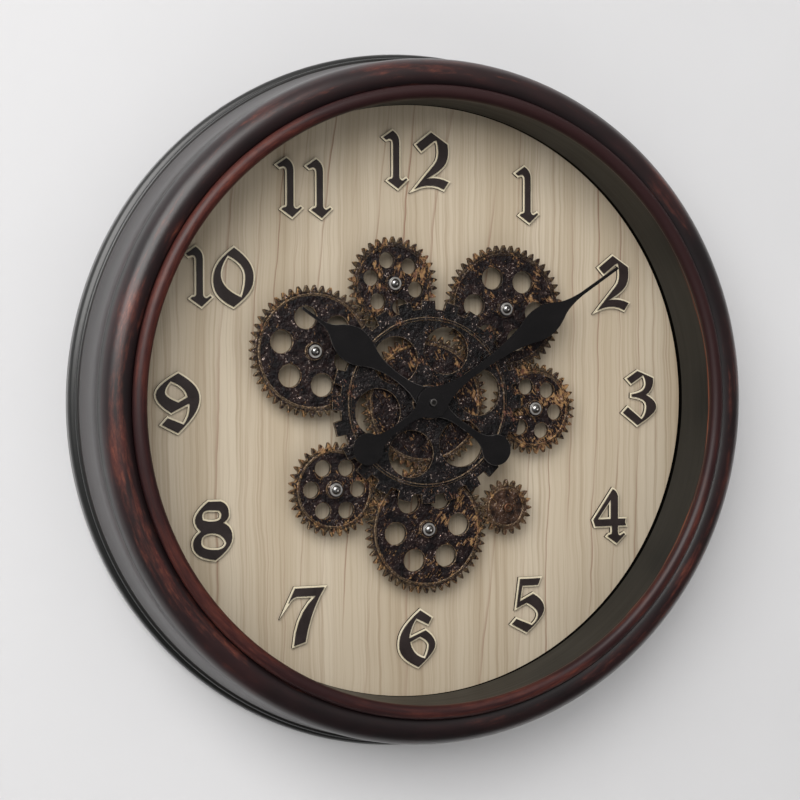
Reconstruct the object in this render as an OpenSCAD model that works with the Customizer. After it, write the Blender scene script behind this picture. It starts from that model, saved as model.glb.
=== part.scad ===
// Wall clock with a gear train in front of a wood dial.
// +Z is up, the front faces -Y, and the wall is the plane Y = 0.
// The origin is the centre of the hanger's eye, on the wall.

/* [Case] */
// Height of the dial's face above the wall
dial_rise = 20; // [19:0.5:30]
// Room between the numerals and the liner
liner_margin = 18.5; // [10:0.5:40]
// Thickness of the liner's wall
liner_wall = 2.8; // [2:0.1:4]
// Height of the lip bead's centre above the dial
bead_rise = 56; // [50:0.5:80]
// Radius of the lip bead's section
bead_r = 5.3; // [4.5:0.1:7]
// Radius of the large half round's section
round_r = 13.5; // [11:0.1:17]
// How far the side's foot stands out beyond the half round
foot_out = 5.5; // [3:0.5:10]
// Width of the back rim beyond the side's foot
rim_out = 7; // [5:0.5:12]
// Wall thickness of the case ring
case_wall = 3; // [2:0.1:4]
// Thickness of the dial board
dial_t = 3; // [2.6:0.1:4]

/* [Gears] */
// Module of the fine teeth
gear_module = 2; // [1.6:0.01:2.5]
// Pressure angle of the fine teeth in degrees
pressure_angle = 25; // [20:1:28]
// How much thinner than half a pitch each tooth is
tooth_gap = 0.25; // [0.15:0.01:0.4]
// Teeth of the centre gear
centre_teeth = 50; // [48:1:52]
// Teeth of each large gear
large_teeth = 48; // [46:1:49]
// Teeth of each medium gear
medium_teeth = 34; // [30:1:35]
// Teeth of the motor's pinion
pinion_teeth = 20; // [16:1:22]
// Thickness of a gear
gear_t = 4; // [3:0.1:5]
// Height of a gear's back above the dial
gear_rise = 9.3; // [8:0.1:12]
// Radius of the journal that a gear turns on
journal_r = 3; // [2.5:0.1:3.5]
// Radial clearance of every turning fit
turning_gap = 0.05; // [0.02:0.01:0.09]

/* [Cover plate] */
// Room between the cover plate and the axes of the gears round it
cover_margin = 20.1; // [14:0.1:30]
// Depth of the coarse teeth
notch_in = 6.5; // [4:0.5:9]
// Number of coarse teeth
cover_teeth = 24; // [18:1:30]
// Thickness of the cover plate
cover_t = 3; // [2:0.1:4]
// Radius of each window in the cover plate
window_r = 18; // [14:0.5:20]

/* [Numerals] */
// Height of a numeral's dark face
numeral_h = 44; // [36:1:54]
// Room between the gears and the numerals
numeral_gap = 17.9; // [10:0.1:30]
// Width of the pale border round a numeral
numeral_border = 1.4; // [0.8:0.1:2]
// Thickness of the pale backing
backing_t = 2.2; // [1:0.1:4]
// Thickness of the dark face
face_t = 1.2; // [0.6:0.1:2]

/* [Hands] */
// How far the minute hand's tip passes the middle of the numerals
minute_past = 2; // [0:0.5:15]
// How far the hour hand's tip stays inside the numerals
hour_short = 41; // [20:1:60]
// Half width of the minute hand's leaf
minute_leaf = 12.5; // [8:0.5:16]
// Half width of the hour hand's leaf
hour_leaf = 13.5; // [8:0.5:16]
// Radius of a hand's hub
hub_r = 12; // [9:0.5:14]
// Thickness of a hand
hand_t = 1.2; // [0.8:0.1:2]
// Minutes past ten that the hands show at rest
minutes_shown = 9.4; // [0:0.1:59]

/* [Back] */
// Height of the hanger's eye above the top of the dial that shows
eye_up = 3.5; // [0:0.5:5]
// Radius of the hanger's eye
eye_r = 5; // [4:0.1:5.5]
// Wall of the clock movement's case at each end of its cell
bay_wall = 2.3; // [1.5:0.1:5]
// Length of the gear motor's case
motor_w = 72; // [60:1:84]
// Height of the gear motor's case
motor_h = 44; // [40:1:50]

/* [Hidden] */
$fn = 96;

// Overrun of every cut
cut = 1;
// Gap between pieces that are only laid together
seat_gap = 0.2;
// Gap round a screw or pin in its hole
pin_gap = 0.05;

// Pitch radii, and how far apart meshing gears stand beyond them
centre_pitch = centre_teeth * gear_module / 2;
large_pitch = large_teeth * gear_module / 2;
medium_pitch = medium_teeth * gear_module / 2;
pinion_pitch = pinion_teeth * gear_module / 2;
mesh_gap = 0.1;

// Directions from the gear that drives to the gear that it drives
left_angle = 156.6;
upper_right_angle = 47.2;
lower_angle = -89.2;
top_angle = 39;
right_angle = -72.3;
lower_left_angle = 156.5;
pinion_angle = 12.4;

// Places of the gear axes from the clock's axis, right and up
function along(angle, far) = [far * cos(angle), far * sin(angle)];
left_at = along(left_angle, centre_pitch + large_pitch + mesh_gap);
upper_right_at = along(upper_right_angle, centre_pitch + large_pitch + mesh_gap);
lower_at = along(lower_angle, centre_pitch + large_pitch + mesh_gap);
top_at = left_at + along(top_angle, large_pitch + medium_pitch + mesh_gap);
right_at = upper_right_at + along(right_angle, large_pitch + medium_pitch + mesh_gap);
lower_left_at = lower_at + along(lower_left_angle, large_pitch + medium_pitch + mesh_gap);
pinion_at = lower_at + along(pinion_angle, large_pitch + pinion_pitch + mesh_gap);
post_places = [left_at, top_at, upper_right_at, right_at, lower_at, lower_left_at];

// Direction of a tooth on a driven gear, so that it meets a gap of its driver
function mesh_turn(angle, teeth_a, turn_a, teeth_b) =
    angle + 180 + (teeth_a * (angle - turn_a) - 180) / teeth_b;
centre_turn = 2;
left_turn = mesh_turn(left_angle, centre_teeth, centre_turn, large_teeth);
upper_right_turn = mesh_turn(upper_right_angle, centre_teeth, centre_turn, large_teeth);
lower_turn = mesh_turn(lower_angle, centre_teeth, centre_turn, large_teeth);
top_turn = mesh_turn(top_angle, large_teeth, left_turn, medium_teeth);
right_turn = mesh_turn(right_angle, large_teeth, upper_right_turn, medium_teeth);
lower_left_turn = mesh_turn(lower_left_angle, large_teeth, lower_turn, medium_teeth);
pinion_turn = mesh_turn(pinion_angle, large_teeth, lower_turn, pinion_teeth);

// Direction of the first round hole of each gear
left_hole_turn = 44;
top_hole_turn = 47;
upper_right_hole_turn = 54;
right_hole_turn = 51;
lower_hole_turn = 6;

// Case section, as radius and height above the dial
train_reach = norm(left_at) + large_pitch + gear_module;
numeral_ring_r = train_reach + numeral_gap + numeral_h / 2;
liner_r = numeral_ring_r + numeral_h / 2 + liner_margin;
minute_reach = numeral_ring_r + minute_past;
hour_reach = numeral_ring_r - numeral_h / 2 - hour_short;
hang_drop = liner_r + eye_up;
back_z = -dial_rise;
liner_out_r = liner_r + liner_wall;
bead_at = liner_out_r - seat_gap;
round_at = bead_at + (bead_r + round_r) * 0.69;
round_z = bead_rise - round_r * 0.93;
leg_r = liner_out_r + seat_gap;
foot_w = 11.5;
foot_t = 2.2;
rim_h = 9.5;
rim_edge = 1.5;
side_top_r = round_at + round_r;
side_top_z = round_z - round_r * 0.4;
side_foot_r = side_top_r + foot_out;
case_r = side_foot_r + rim_out;
rim_w = 12.7;
rim_in_r = case_r - rim_w;
board_r = rim_in_r - 0.5 * case_wall;
fillet_w = 3;
fillet_h = 6;
fillet_r = 1.6;
side_foot_z = back_z + rim_h + fillet_h + fillet_r + rim_h * 0.5;
cove_sag = 2;

// Screw towers inside the case ring
tower_count = 8;
tower_r = 4.5;
tower_at = leg_r + foot_w + tower_r - case_wall * 0.2;
dial_screw_r = 1.6;
dial_screw_in = 8;
dial_head_r = 3.5;
dial_head_t = 2;

// Stack of each gear, as heights above the dial
gear_face = gear_rise + gear_t;
hub_rise = 2.9;
gear_hub_r = 6.6;
ridge_w = 1.2;
ridge_h = 0.8;
ridge_in = 2.2;
run_gap = 0.2;
post_top = gear_face + hub_rise + run_gap;
flange_t = 1.5;
flange_r = 7;
post_r = 4.5;
tail_r = 2;
tail_in = 8.5;
nut_r = 4;
nut_t = 3;
washer_r = 4.9;
washer_t = 0.8;
screw_r = 1.5;
screw_in = 7;
screw_head_r = 3.7;
screw_head_t = 2.6;
socket_r = 1.3;
socket_in = 1.4;
hole_share = 0.18;
hole_ring_share = 0.545;
pinion_boss_r = 3.2;
pinion_boss_h = 4;
dimple_r = 2.2;
dimple_deep = 0.6;
dimple_ring = 11.2;
dimple_turn = 160;
motor_shaft_r = 1.5;

// Centre stack, as heights above the dial
sleeve_flange_r = 16;
sleeve_body_r = 12;
sleeve_journal_r = 9;
bushing_r = 4;
centre_hub_r = 14;
cover_back = post_top + run_gap;
cover_face = cover_back + cover_t;
cover_r = centre_pitch + large_pitch + mesh_gap - cover_margin;
cover_root_r = cover_r - notch_in;
cover_ridge_in = 8.5;
cover_ridge_w = 2;
cover_ridge_r = cover_root_r - cover_ridge_in;
window_edge = 3;
window_ring = cover_ridge_r - window_edge - window_r;
window_turn = 10;
cover_ridge_h = 1;
cover_boss_r = 13;
cover_boss_h = 0.6;
bushing_nut_r = 7.5;
bushing_nut_t = 2.6;
bushing_top = cover_face + cover_boss_h + bushing_nut_t + seat_gap;
tube_r = 3;
arbor_r = 1.7;
collet_r = 5.5;
collet_t = 0.9;
hand_gap = 0.5;
hour_back = bushing_top + hand_gap + collet_t;
hour_face = hour_back + hand_t;
minute_back = hour_face + hand_gap + collet_t;
minute_face = minute_back + hand_t;
hand_nut_r = 3.2;
hand_nut_t = 2.2;
arbor_top = minute_face + hand_nut_t + 0.5 * hand_t;

// Hands
minute_turn = 90 - minutes_shown * 6;
hour_turn = 90 - (10 + minutes_shown / 60) * 30;
tail_disc_r = 12;
minute_tail = 62.5;
hour_tail = 66;

// Movement and motor cases
wall_gap = 1;
case_thick = dial_rise - dial_t - wall_gap;
case_corner = 4;
case_skin = 1.2;
cell_r = 7;
cell_len = 49.4;
cell_play = 1;
cell_nub_r = 2.7;
cell_nub = 1.2;
bay_len = cell_len + 2 * cell_play;
bay_room = 0.5;
bay_h = 2 * (cell_r + bay_room);
contact_t = 0.5;
contact_w = 9;
cell_z = -dial_t - case_skin - cell_r - seat_gap;
bay_side = 3.3;
movement_w = bay_len + 2 * bay_wall;
movement_bay_y = bay_side + bay_h / 2 - movement_w / 2;
knob_in = 13.5;
knob_y = movement_w / 2 - knob_in;
knob_r = 7.2;
knob_t = 2.6;
knob_rib = 0.5;
knob_ribs = 20;
knob_recess = 3.2;
knob_stem_r = 2;
knob_stem_in = 4;
tube_foot = -13;
arbor_foot = -14.5;
motor_shift_x = -14;
motor_bay_side = 1.9;
motor_bay_y = motor_bay_side + bay_h / 2 - motor_h / 2;
motor_foot = -12;
ear_w = 9;
ear_h = 14;
ear_t = 2.5;
motor_screw_r = 1.6;
motor_screw_in = 2.3;
motor_head_r = 3;
motor_head_t = 1.8;
switch_x = -20;
switch_down = 9;
switch_y = motor_h / 2 - switch_down;
switch_w = 5;
switch_h = 5;
switch_travel = 4;
switch_in = 5;
switch_proud = 0.6;

// Hanger
block_w = 70;
block_h = 30;
plate_w = 64;
plate_h = 26;
plate_t = 1.5;
slot_r = 2.5;
slot_rise = 8;
pocket_in = 9;
pocket_side = 2;
hanger_screw_edge = 6;
hanger_screw_x = plate_w / 2 - hanger_screw_edge;
hanger_screw_r = 1.6;
hanger_head_r = 3.2;
hanger_screw_in = 11;

// Numeral outlines as shares of the numeral's height. A point with a third
// entry bends the line towards itself, and the other points are corners.
one_shares = [[0, 0.88], [0.17, 1], [0.29, 0.93, 1], [0.29, 0.8], [0.29, 0.22],
    [0.29, 0.14, 1], [0.36, 0.14], [0.42, 0.18], [0.44, 0.16], [0.27, 0],
    [0.08, 0.13], [0.11, 0.16], [0.18, 0.16, 1], [0.18, 0.22], [0.18, 0.76],
    [0.18, 0.86, 1], [0.11, 0.86], [0.05, 0.84]];
two_shares = [[0.03, 0.78], [0.31, 1], [0.62, 0.8], [0.66, 0.55, 1],
    [0.45, 0.3, 1], [0.2, 0.18], [0.42, 0.24, 1], [0.64, 0.14], [0.55, 0.01],
    [0.3, 0.14, 1], [0, 0], [0.25, 0.3, 1], [0.5, 0.58, 1], [0.42, 0.87],
    [0.36, 0.85], [0.13, 0.67]];
three_shares = [[0.08, 0.86], [0.3, 1], [0.62, 0.87], [0.64, 0.66, 1],
    [0.47, 0.56], [0.68, 0.46, 1], [0.7, 0.22, 1], [0.3, 0], [0, 0.23],
    [0.1, 0.33], [0.39, 0.1], [0.5, 0.22, 1], [0.48, 0.5, 1], [0.18, 0.53],
    [0.18, 0.57], [0.42, 0.6, 1], [0.5, 0.8, 1], [0.42, 0.93], [0.17, 0.77]];
four_shares = [[0.4, 1], [0.47, 0.97, 1], [0.5, 0.87], [0.5, 0.45], [0.66, 0.45],
    [0.645, 0.39], [0.67, 0.325], [0.5, 0.325], [0.5, 0.2], [0.5, 0.14, 1],
    [0.56, 0.14], [0.63, 0.18], [0.65, 0.16], [0.48, 0], [0.29, 0.13],
    [0.32, 0.16], [0.385, 0.16, 1], [0.385, 0.21], [0.385, 0.325], [0.04, 0.325],
    [0, 0.44]];
four_hole_shares = [[0.36, 0.82], [0.08, 0.45], [0.36, 0.45]];
five_shares = [[0.17, 0.97], [0.57, 0.97], [0.52, 0.85], [0.21, 0.85],
    [0.16, 0.56], [0.43, 0.69], [0.63, 0.58, 1], [0.66, 0.28, 1], [0.3, 0],
    [0.01, 0.16], [0.1, 0.25], [0.41, 0.12], [0.54, 0.22, 1], [0.52, 0.42, 1],
    [0.3, 0.54], [0.1, 0.45]];
six_shares = [[0.37, 1], [0.58, 0.86], [0.515, 0.75], [0.29, 0.865],
    [0.18, 0.72, 1], [0.15, 0.51], [0.47, 0.64], [0.64, 0.52, 1],
    [0.66, 0.26, 1], [0.33, 0], [0.08, 0.12, 1], [-0.06, 0.36, 1],
    [0.04, 0.74, 1]];
six_hole_shares = [[0.17, 0.45], [0.36, 0.54], [0.52, 0.46, 1], [0.54, 0.3, 1],
    [0.46, 0.14], [0.22, 0.2, 1]];
seven_shares = [[0.12, 0.99], [0.65, 0.99], [0.4, 0.62, 1], [0.3, 0.06],
    [0.1, 0], [0.14, 0.56, 1], [0.5, 0.85], [0.14, 0.85], [0.06, 0.83, 1],
    [0, 0.74]];
eight_shares = [[0.25, 0.99], [0.46, 0.99], [0.6, 0.95, 1], [0.6, 0.77],
    [0.6, 0.68, 1], [0.5, 0.63], [0.66, 0.56, 1], [0.66, 0.2, 1], [0.37, 0],
    [0.05, 0.04, 1], [-0.06, 0.36, 1], [0.12, 0.49], [-0.02, 0.62, 1],
    [0.08, 0.86, 1]];
eight_top_shares = [[0.15, 0.68], [0.1, 0.84, 1], [0.25, 0.85], [0.42, 0.84],
    [0.5, 0.8, 1], [0.46, 0.7], [0.42, 0.64, 1], [0.25, 0.655]];
eight_low_shares = [[0.12, 0.28], [0.1, 0.45, 1], [0.3, 0.46], [0.5, 0.45, 1],
    [0.56, 0.28], [0.52, 0.16, 1], [0.36, 0.17], [0.14, 0.18, 1]];
nine_shares = [[0.33, 1], [0.58, 0.86, 1], [0.72, 0.6, 1], [0.6, 0.26, 1],
    [0.32, 0], [0.05, 0.14], [0.15, 0.25], [0.42, 0.14], [0.54, 0.3, 1],
    [0.52, 0.5], [0.21, 0.34], [-0.06, 0.5, 1], [-0.04, 0.8, 1]];
nine_hole_shares = [[0.2, 0.87], [0.46, 0.78, 1], [0.49, 0.6], [0.33, 0.51],
    [0.1, 0.6, 1], [0.1, 0.76, 1]];
nought_shares = [[0.35, 1], [0.56, 0.86, 1], [0.72, 0.56, 1], [0.62, 0.2, 1],
    [0.34, 0], [0.08, 0.12, 1], [-0.04, 0.44, 1], [0.08, 0.8, 1]];
nought_hole_shares = [[0.24, 0.87], [0.48, 0.76, 1], [0.58, 0.46, 1],
    [0.48, 0.16], [0.22, 0.26, 1], [0.06, 0.6, 1]];
// Each digit: its outline, then the openings inside it
digit_shares = [[nought_shares, nought_hole_shares], [one_shares], [two_shares],
    [three_shares], [four_shares, four_hole_shares], [five_shares],
    [six_shares, six_hole_shares], [seven_shares],
    [eight_shares, eight_top_shares, eight_low_shares],
    [nine_shares, nine_hole_shares]];
// Each hour's digits with their starts, its width, and its nudge right and up
hour_shares = [[[[1, 0]], 0.44, -0.08, 0], [[[2, 0]], 0.64, 0.1, 0],
    [[[3, 0]], 0.68, 0.08, 0.02], [[[4, 0]], 0.67, 0.04, -0.02],
    [[[5, 0]], 0.64, -0.06, 0], [[[6, 0]], 0.64, -0.06, 0.08],
    [[[7, 0]], 0.65, 0.02, 0.02], [[[8, 0]], 0.62, -0.08, 0],
    [[[9, 0]], 0.63, -0.09, 0.02], [[[1, 0], [0, 0.48]], 1.14, 0.06, 0],
    [[[1, 0], [1, 0.53]], 0.97, 0, -0.02], [[[1, 0], [2, 0.58]], 1.22, -0.08, -0.04]];

// Half outlines of the hands' blades and necks: along as a share of the
// reach, out as a share of the leaf's half width, bends marked as above
minute_blade_shares = [[0.032, 0.83], [0.095, 0.24, 1], [0.22, 0.21],
    [0.395, 0.23, 1], [0.5, 0.69], [0.555, 1.06, 1], [0.61, 0.96],
    [0.65, 0.85, 1], [0.685, 0.52], [0.72, 0.19, 1], [0.8, 0.11], [1, 0.09]];
hour_blade_shares = [[0.048, 0.77], [0.112, 0.24, 1], [0.264, 0.21],
    [0.4, 0.22, 1], [0.48, 0.6], [0.56, 1.07, 1], [0.632, 0.99],
    [0.7, 0.9, 1], [0.76, 0.42], [0.795, 0.14, 1], [0.85, 0.1], [1, 0.08]];
// The same for a tail's neck, along as a share of the tail's length and
// out as a share of the hub's radius
neck_shares = [[-0.1, 0.87], [-0.19, 0.23, 1], [-0.42, 0.21], [-0.6, 0.21],
    [-0.78, 0.22, 1], [-0.86, 0.62], [-1, 0.62]];

// Line through a list of corners and bends
bend_steps = 5;
function mid_of(a, b) = [(a.x + b.x) / 2, (a.y + b.y) / 2];
function is_bend(p) = len(p) == 3;
function bend_start(before, here) = is_bend(before) ? mid_of(before, here) : before;
function bend_point(a, b, c, t) =
    [(1 - t) * (1 - t) * a.x + 2 * t * (1 - t) * b.x + t * t * c.x,
     (1 - t) * (1 - t) * a.y + 2 * t * (1 - t) * b.y + t * t * c.y];
function bent_line(p, size_x, size_y) = [
    for (i = [0:len(p) - 1])
        let (before = p[(i + len(p) - 1) % len(p)], after = p[(i + 1) % len(p)])
        if (is_bend(p[i]))
            let (last = is_bend(after) ? bend_steps : bend_steps - 1)
            for (k = [1:last])
                let (q = bend_point(bend_start(before, p[i]), p[i],
                                    bend_start(after, p[i]), k / bend_steps))
                [q.x * size_x, q.y * size_y]
        else [p[i].x * size_x, p[i].y * size_y]];

// Half angle of an involute tooth at radius r, in degrees
function involute(angle) = tan(angle) * 180 / PI - angle;
function tooth_half(r, teeth) =
    let (pitch = teeth * gear_module / 2)
    let (base = pitch * cos(pressure_angle))
    90 / teeth - tooth_gap / 2 / pitch * 180 / PI
    + involute(pressure_angle) - involute(acos(min(1, base / r)));
function root_of(teeth) = (teeth / 2 - 1.25) * gear_module;
function tip_of(teeth) = (teeth / 2 + 1) * gear_module;
function pitch_of(teeth) = teeth / 2 * gear_module;
function tooth_line(teeth, turn) = [
    for (i = [0:teeth - 1])
        let (middle = turn + i * 360 / teeth)
        for (side = [-1, 1])
            let (radii = side < 0
                ? [root_of(teeth), pitch_of(teeth), tip_of(teeth)]
                : [tip_of(teeth), pitch_of(teeth), root_of(teeth)])
            for (r = radii)
                along(middle + side * tooth_half(r, teeth), r)];

// Places its children in front of the dial: x right, y up, z to the front
module on_dial(z = 0) {
    translate([0, -dial_rise, -hang_drop])
        rotate([90, 0, 0])
            translate([0, 0, z])
                children();
}

module ring(outer, inner, height) {
    difference() {
        cylinder(r = outer, h = height);
        translate([0, 0, -cut])
            cylinder(r = inner, h = height + 2 * cut);
    }
}

module rounded_box(w, h, t, corner) {
    linear_extrude(t)
        union() {
            square([w, h - 2 * corner], center = true);
            square([w - 2 * corner, h], center = true);
            for (sx = [-1, 1], sy = [-1, 1])
                translate([sx * (w / 2 - corner), sy * (h / 2 - corner)])
                    circle(r = corner);
        }
}

// Outer shape of the case's section
module case_section() {
    side_mid = [(side_top_r + side_foot_r) / 2, (side_top_z + side_foot_z) / 2];
    side_run = [side_foot_r - side_top_r, side_foot_z - side_top_z];
    side_len = norm(side_run);
    cove_r = side_len * side_len / (8 * cove_sag) + cove_sag / 2;
    cove_far = cove_r - cove_sag;
    difference() {
        union() {
            translate([round_at, round_z])
                circle(r = round_r);
            polygon([[leg_r, foot_t + seat_gap], [leg_r, round_z],
                     [side_top_r, round_z], [side_top_r, side_top_z],
                     [side_foot_r, side_foot_z], [side_foot_r, back_z],
                     [rim_in_r, back_z], [rim_in_r, foot_t + seat_gap]]);
            translate([side_foot_r, side_foot_z])
                circle(r = fillet_r);
            translate([rim_in_r, back_z + rim_h])
                square([case_r - fillet_w - rim_in_r, fillet_h]);
            translate([rim_in_r, back_z])
                square([case_r - rim_in_r, rim_h - rim_edge]);
            translate([rim_in_r, back_z])
                square([case_r - rim_edge - rim_in_r, rim_h]);
            translate([case_r - rim_edge, back_z + rim_h - rim_edge])
                circle(r = rim_edge);
        }
        translate([side_mid.x - side_run.y / side_len * cove_far,
                   side_mid.y + side_run.x / side_len * cove_far])
            circle(r = cove_r);
        translate([bead_at, bead_rise])
            circle(r = bead_r + seat_gap);
        square([leg_r, round_r + bead_rise]);
    }
}

// Hollow behind the section
module case_hollow() {
    translate([round_at, round_z])
        circle(r = round_r - case_wall);
    polygon([[leg_r + case_wall, -cut], [leg_r + case_wall, round_z],
             [side_top_r - case_wall, round_z],
             [side_top_r - case_wall, side_top_z],
             [side_foot_r - case_wall - cove_sag, side_foot_z],
             [side_foot_r - case_wall - cove_sag, case_wall],
             [rim_in_r, case_wall], [rim_in_r, -cut]]);
}

module case_ring() {
    color("#2b211d")
        on_dial()
            difference() {
                union() {
                    rotate_extrude()
                        difference() {
                            case_section();
                            case_hollow();
                        }
                    for (i = [0:tower_count - 1])
                        rotate([0, 0, (i + 0.5) * 360 / tower_count])
                            translate([tower_at, 0, 0])
                                cylinder(r = tower_r, h = round_z + round_r - case_wall);
                }
                for (i = [0:tower_count - 1])
                    rotate([0, 0, (i + 0.5) * 360 / tower_count])
                        translate([tower_at, 0, -cut])
                            cylinder(r = dial_screw_r + pin_gap,
                                     h = dial_screw_in + 2 * cut);
            }
}

module inner_liner() {
    color("#35332e")
        on_dial()
            rotate_extrude()
                union() {
                    translate([liner_r, 0])
                        square([liner_wall, bead_rise]);
                    translate([liner_r, 0])
                        square([foot_w, foot_t]);
                    translate([bead_at, bead_rise])
                        circle(r = bead_r);
                }
}

module dial_board() {
    color("#c9b697")
        on_dial(-dial_t)
            difference() {
                cylinder(r = board_r, h = dial_t);
                translate([0, 0, -cut])
                    cylinder(r = bushing_r + pin_gap, h = dial_t + 2 * cut);
                for (p = post_places)
                    translate([p.x, p.y, -cut])
                        cylinder(r = tail_r + pin_gap, h = dial_t + 2 * cut);
                translate([pinion_at.x, pinion_at.y, -cut])
                    cylinder(r = motor_shaft_r * 2, h = dial_t + 2 * cut);
                for (i = [0:tower_count - 1])
                    rotate([0, 0, (i + 0.5) * 360 / tower_count])
                        translate([tower_at, 0, -cut])
                            cylinder(r = dial_screw_r + pin_gap, h = dial_t + 2 * cut);
                for (side = [-1, 1])
                    translate([motor_x + side * (motor_w + ear_w) / 2, motor_y, -cut])
                        cylinder(r = motor_screw_r + pin_gap, h = motor_screw_in + cut);
            }
}

module dial_screws() {
    color("#8f8f8a")
        on_dial(-dial_t)
            for (i = [0:tower_count - 1])
                rotate([0, 0, (i + 0.5) * 360 / tower_count])
                    translate([tower_at, 0, 0])
                        union() {
                            cylinder(r = dial_screw_r, h = dial_t + dial_screw_in);
                            translate([0, 0, -dial_head_t])
                                cylinder(r = dial_head_r, h = dial_head_t);
                        }
}

module hanger_block() {
    block_t = dial_rise - dial_t - plate_t;
    color("#8a7355")
        on_dial(plate_t - dial_rise)
            translate([0, hang_drop, 0])
                difference() {
                    translate([-block_w / 2, -block_h / 2, 0])
                        cube([block_w, block_h, block_t]);
                    translate([0, 0, -cut])
                        cylinder(r = eye_r + pocket_side, h = pocket_in + cut);
                    translate([-eye_r - pocket_side, 0, -cut])
                        cube([2 * (eye_r + pocket_side), slot_rise, pocket_in + cut]);
                    translate([0, slot_rise, -cut])
                        cylinder(r = eye_r + pocket_side, h = pocket_in + cut);
                    for (side = [-1, 1])
                        translate([side * hanger_screw_x, 0, -cut])
                            cylinder(r = hanger_screw_r + pin_gap,
                                     h = hanger_screw_in + cut);
                }
}

module hanger_plate() {
    color("#9a9a97")
        on_dial(back_z)
            translate([0, hang_drop, 0])
                difference() {
                    rounded_box(plate_w, plate_h, plate_t, plate_t);
                    translate([0, 0, -cut])
                        cylinder(r = eye_r, h = plate_t + 2 * cut);
                    translate([-slot_r, 0, -cut])
                        cube([2 * slot_r, slot_rise, plate_t + 2 * cut]);
                    translate([0, slot_rise, -cut])
                        cylinder(r = slot_r, h = plate_t + 2 * cut);
                    for (side = [-1, 1])
                        translate([side * hanger_screw_x, 0, 0])
                            cylinder(r1 = hanger_head_r + pin_gap,
                                     r2 = hanger_screw_r + pin_gap, h = plate_t);
                }
}

module hanger_screws() {
    color("#8f8f8a")
        on_dial(back_z)
            for (side = [-1, 1])
                translate([side * hanger_screw_x, hang_drop, 0])
                    union() {
                        cylinder(r1 = hanger_head_r, r2 = hanger_screw_r, h = plate_t);
                        translate([0, 0, plate_t])
                            cylinder(r = hanger_screw_r, h = hanger_screw_in - seat_gap);
                    }
}

// One digit's outline in the plane, grown by a border
module digit(value, border) {
    shapes = digit_shares[value];
    offset(delta = border)
        difference() {
            polygon(bent_line(shapes[0], numeral_h, numeral_h));
            if (len(shapes) > 1)
                for (k = [1:len(shapes) - 1])
                    polygon(bent_line(shapes[k], numeral_h, numeral_h));
        }
}

module numerals(height, border) {
    for (i = [0:len(hour_shares) - 1])
        let (hour = hour_shares[i], turn = 90 - (i + 1) * 30)
            translate([numeral_ring_r * cos(turn)
                       + (hour[2] - hour[1] / 2) * numeral_h,
                       numeral_ring_r * sin(turn)
                       + (hour[3] - 0.5) * numeral_h, 0])
                for (d = hour[0])
                    translate([d[1] * numeral_h, 0, 0])
                        linear_extrude(height)
                            digit(d[0], border);
}

module numeral_backings() {
    color("#d9cfb8")
        on_dial()
            numerals(backing_t, numeral_border);
}

module numeral_faces() {
    color("#4a4344")
        on_dial(backing_t)
            numerals(face_t, 0);
}

module gear_posts() {
    color("#4a4038")
        on_dial()
            for (p = post_places)
                translate([p.x, p.y, 0])
                    difference() {
                        union() {
                            cylinder(r = flange_r, h = flange_t);
                            cylinder(r = post_r, h = gear_rise - run_gap);
                            cylinder(r = journal_r, h = post_top);
                            translate([0, 0, -tail_in])
                                cylinder(r = tail_r, h = tail_in);
                        }
                        translate([0, 0, post_top - screw_in])
                            cylinder(r = screw_r + pin_gap, h = screw_in + cut);
                    }
}

module post_nuts() {
    color("#8f8f8a")
        on_dial(-dial_t - nut_t)
            for (p = post_places)
                translate([p.x, p.y, 0])
                    difference() {
                        cylinder(r = nut_r, h = nut_t, $fn = 6);
                        translate([0, 0, -cut])
                            cylinder(r = tail_r + pin_gap, h = nut_t + 2 * cut);
                    }
}

module gear_washers() {
    color("#c9c9c9")
        on_dial(post_top)
            for (p = post_places)
                translate([p.x, p.y, 0])
                    ring(washer_r, screw_r + pin_gap, washer_t);
}

// Domed head with a hexagon socket, and its shank
module socket_screw(head_r, head_t, shank_r, shank_in) {
    ball_r = (head_r * head_r + head_t * head_t) / (2 * head_t);
    difference() {
        union() {
            intersection() {
                translate([0, 0, head_t - ball_r])
                    sphere(r = ball_r);
                cylinder(r = head_r, h = head_t);
            }
            translate([0, 0, -shank_in])
                cylinder(r = shank_r, h = shank_in);
        }
        translate([0, 0, head_t - socket_in])
            cylinder(r = socket_r, h = socket_in + cut, $fn = 6);
    }
}

module gear_screws() {
    color("#d8d8d8")
        on_dial(post_top + washer_t)
            for (p = post_places)
                translate([p.x, p.y, 0])
                    socket_screw(screw_head_r, screw_head_t, screw_r,
                                 screw_in + washer_t - seat_gap);
}

// Toothed disc with a ridge inside its teeth, a hub, round holes and a bore
module gear(teeth, turn, hub, hub_h, bore_r, hole_r, hole_ring, hole_turn) {
    ridge_r = root_of(teeth) - ridge_in;
    difference() {
        union() {
            linear_extrude(gear_t)
                polygon(tooth_line(teeth, turn));
            translate([0, 0, gear_t])
                ring(ridge_r, ridge_r - ridge_w, ridge_h);
            translate([0, 0, gear_t])
                cylinder(r = hub, h = hub_h);
        }
        translate([0, 0, -cut])
            cylinder(r = bore_r, h = gear_t + hub_h + 2 * cut);
        if (hole_r > 0)
            for (i = [0:5])
                rotate([0, 0, hole_turn + i * 60])
                    translate([hole_ring, 0, -cut])
                        cylinder(r = hole_r, h = gear_t + 2 * cut);
    }
}

module large_gear(place, turn, hole_turn) {
    on_dial(gear_rise)
        translate([place.x, place.y, 0])
            gear(large_teeth, turn, gear_hub_r, hub_rise, journal_r + turning_gap,
                 large_pitch * hole_share, large_pitch * hole_ring_share, hole_turn);
}

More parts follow.
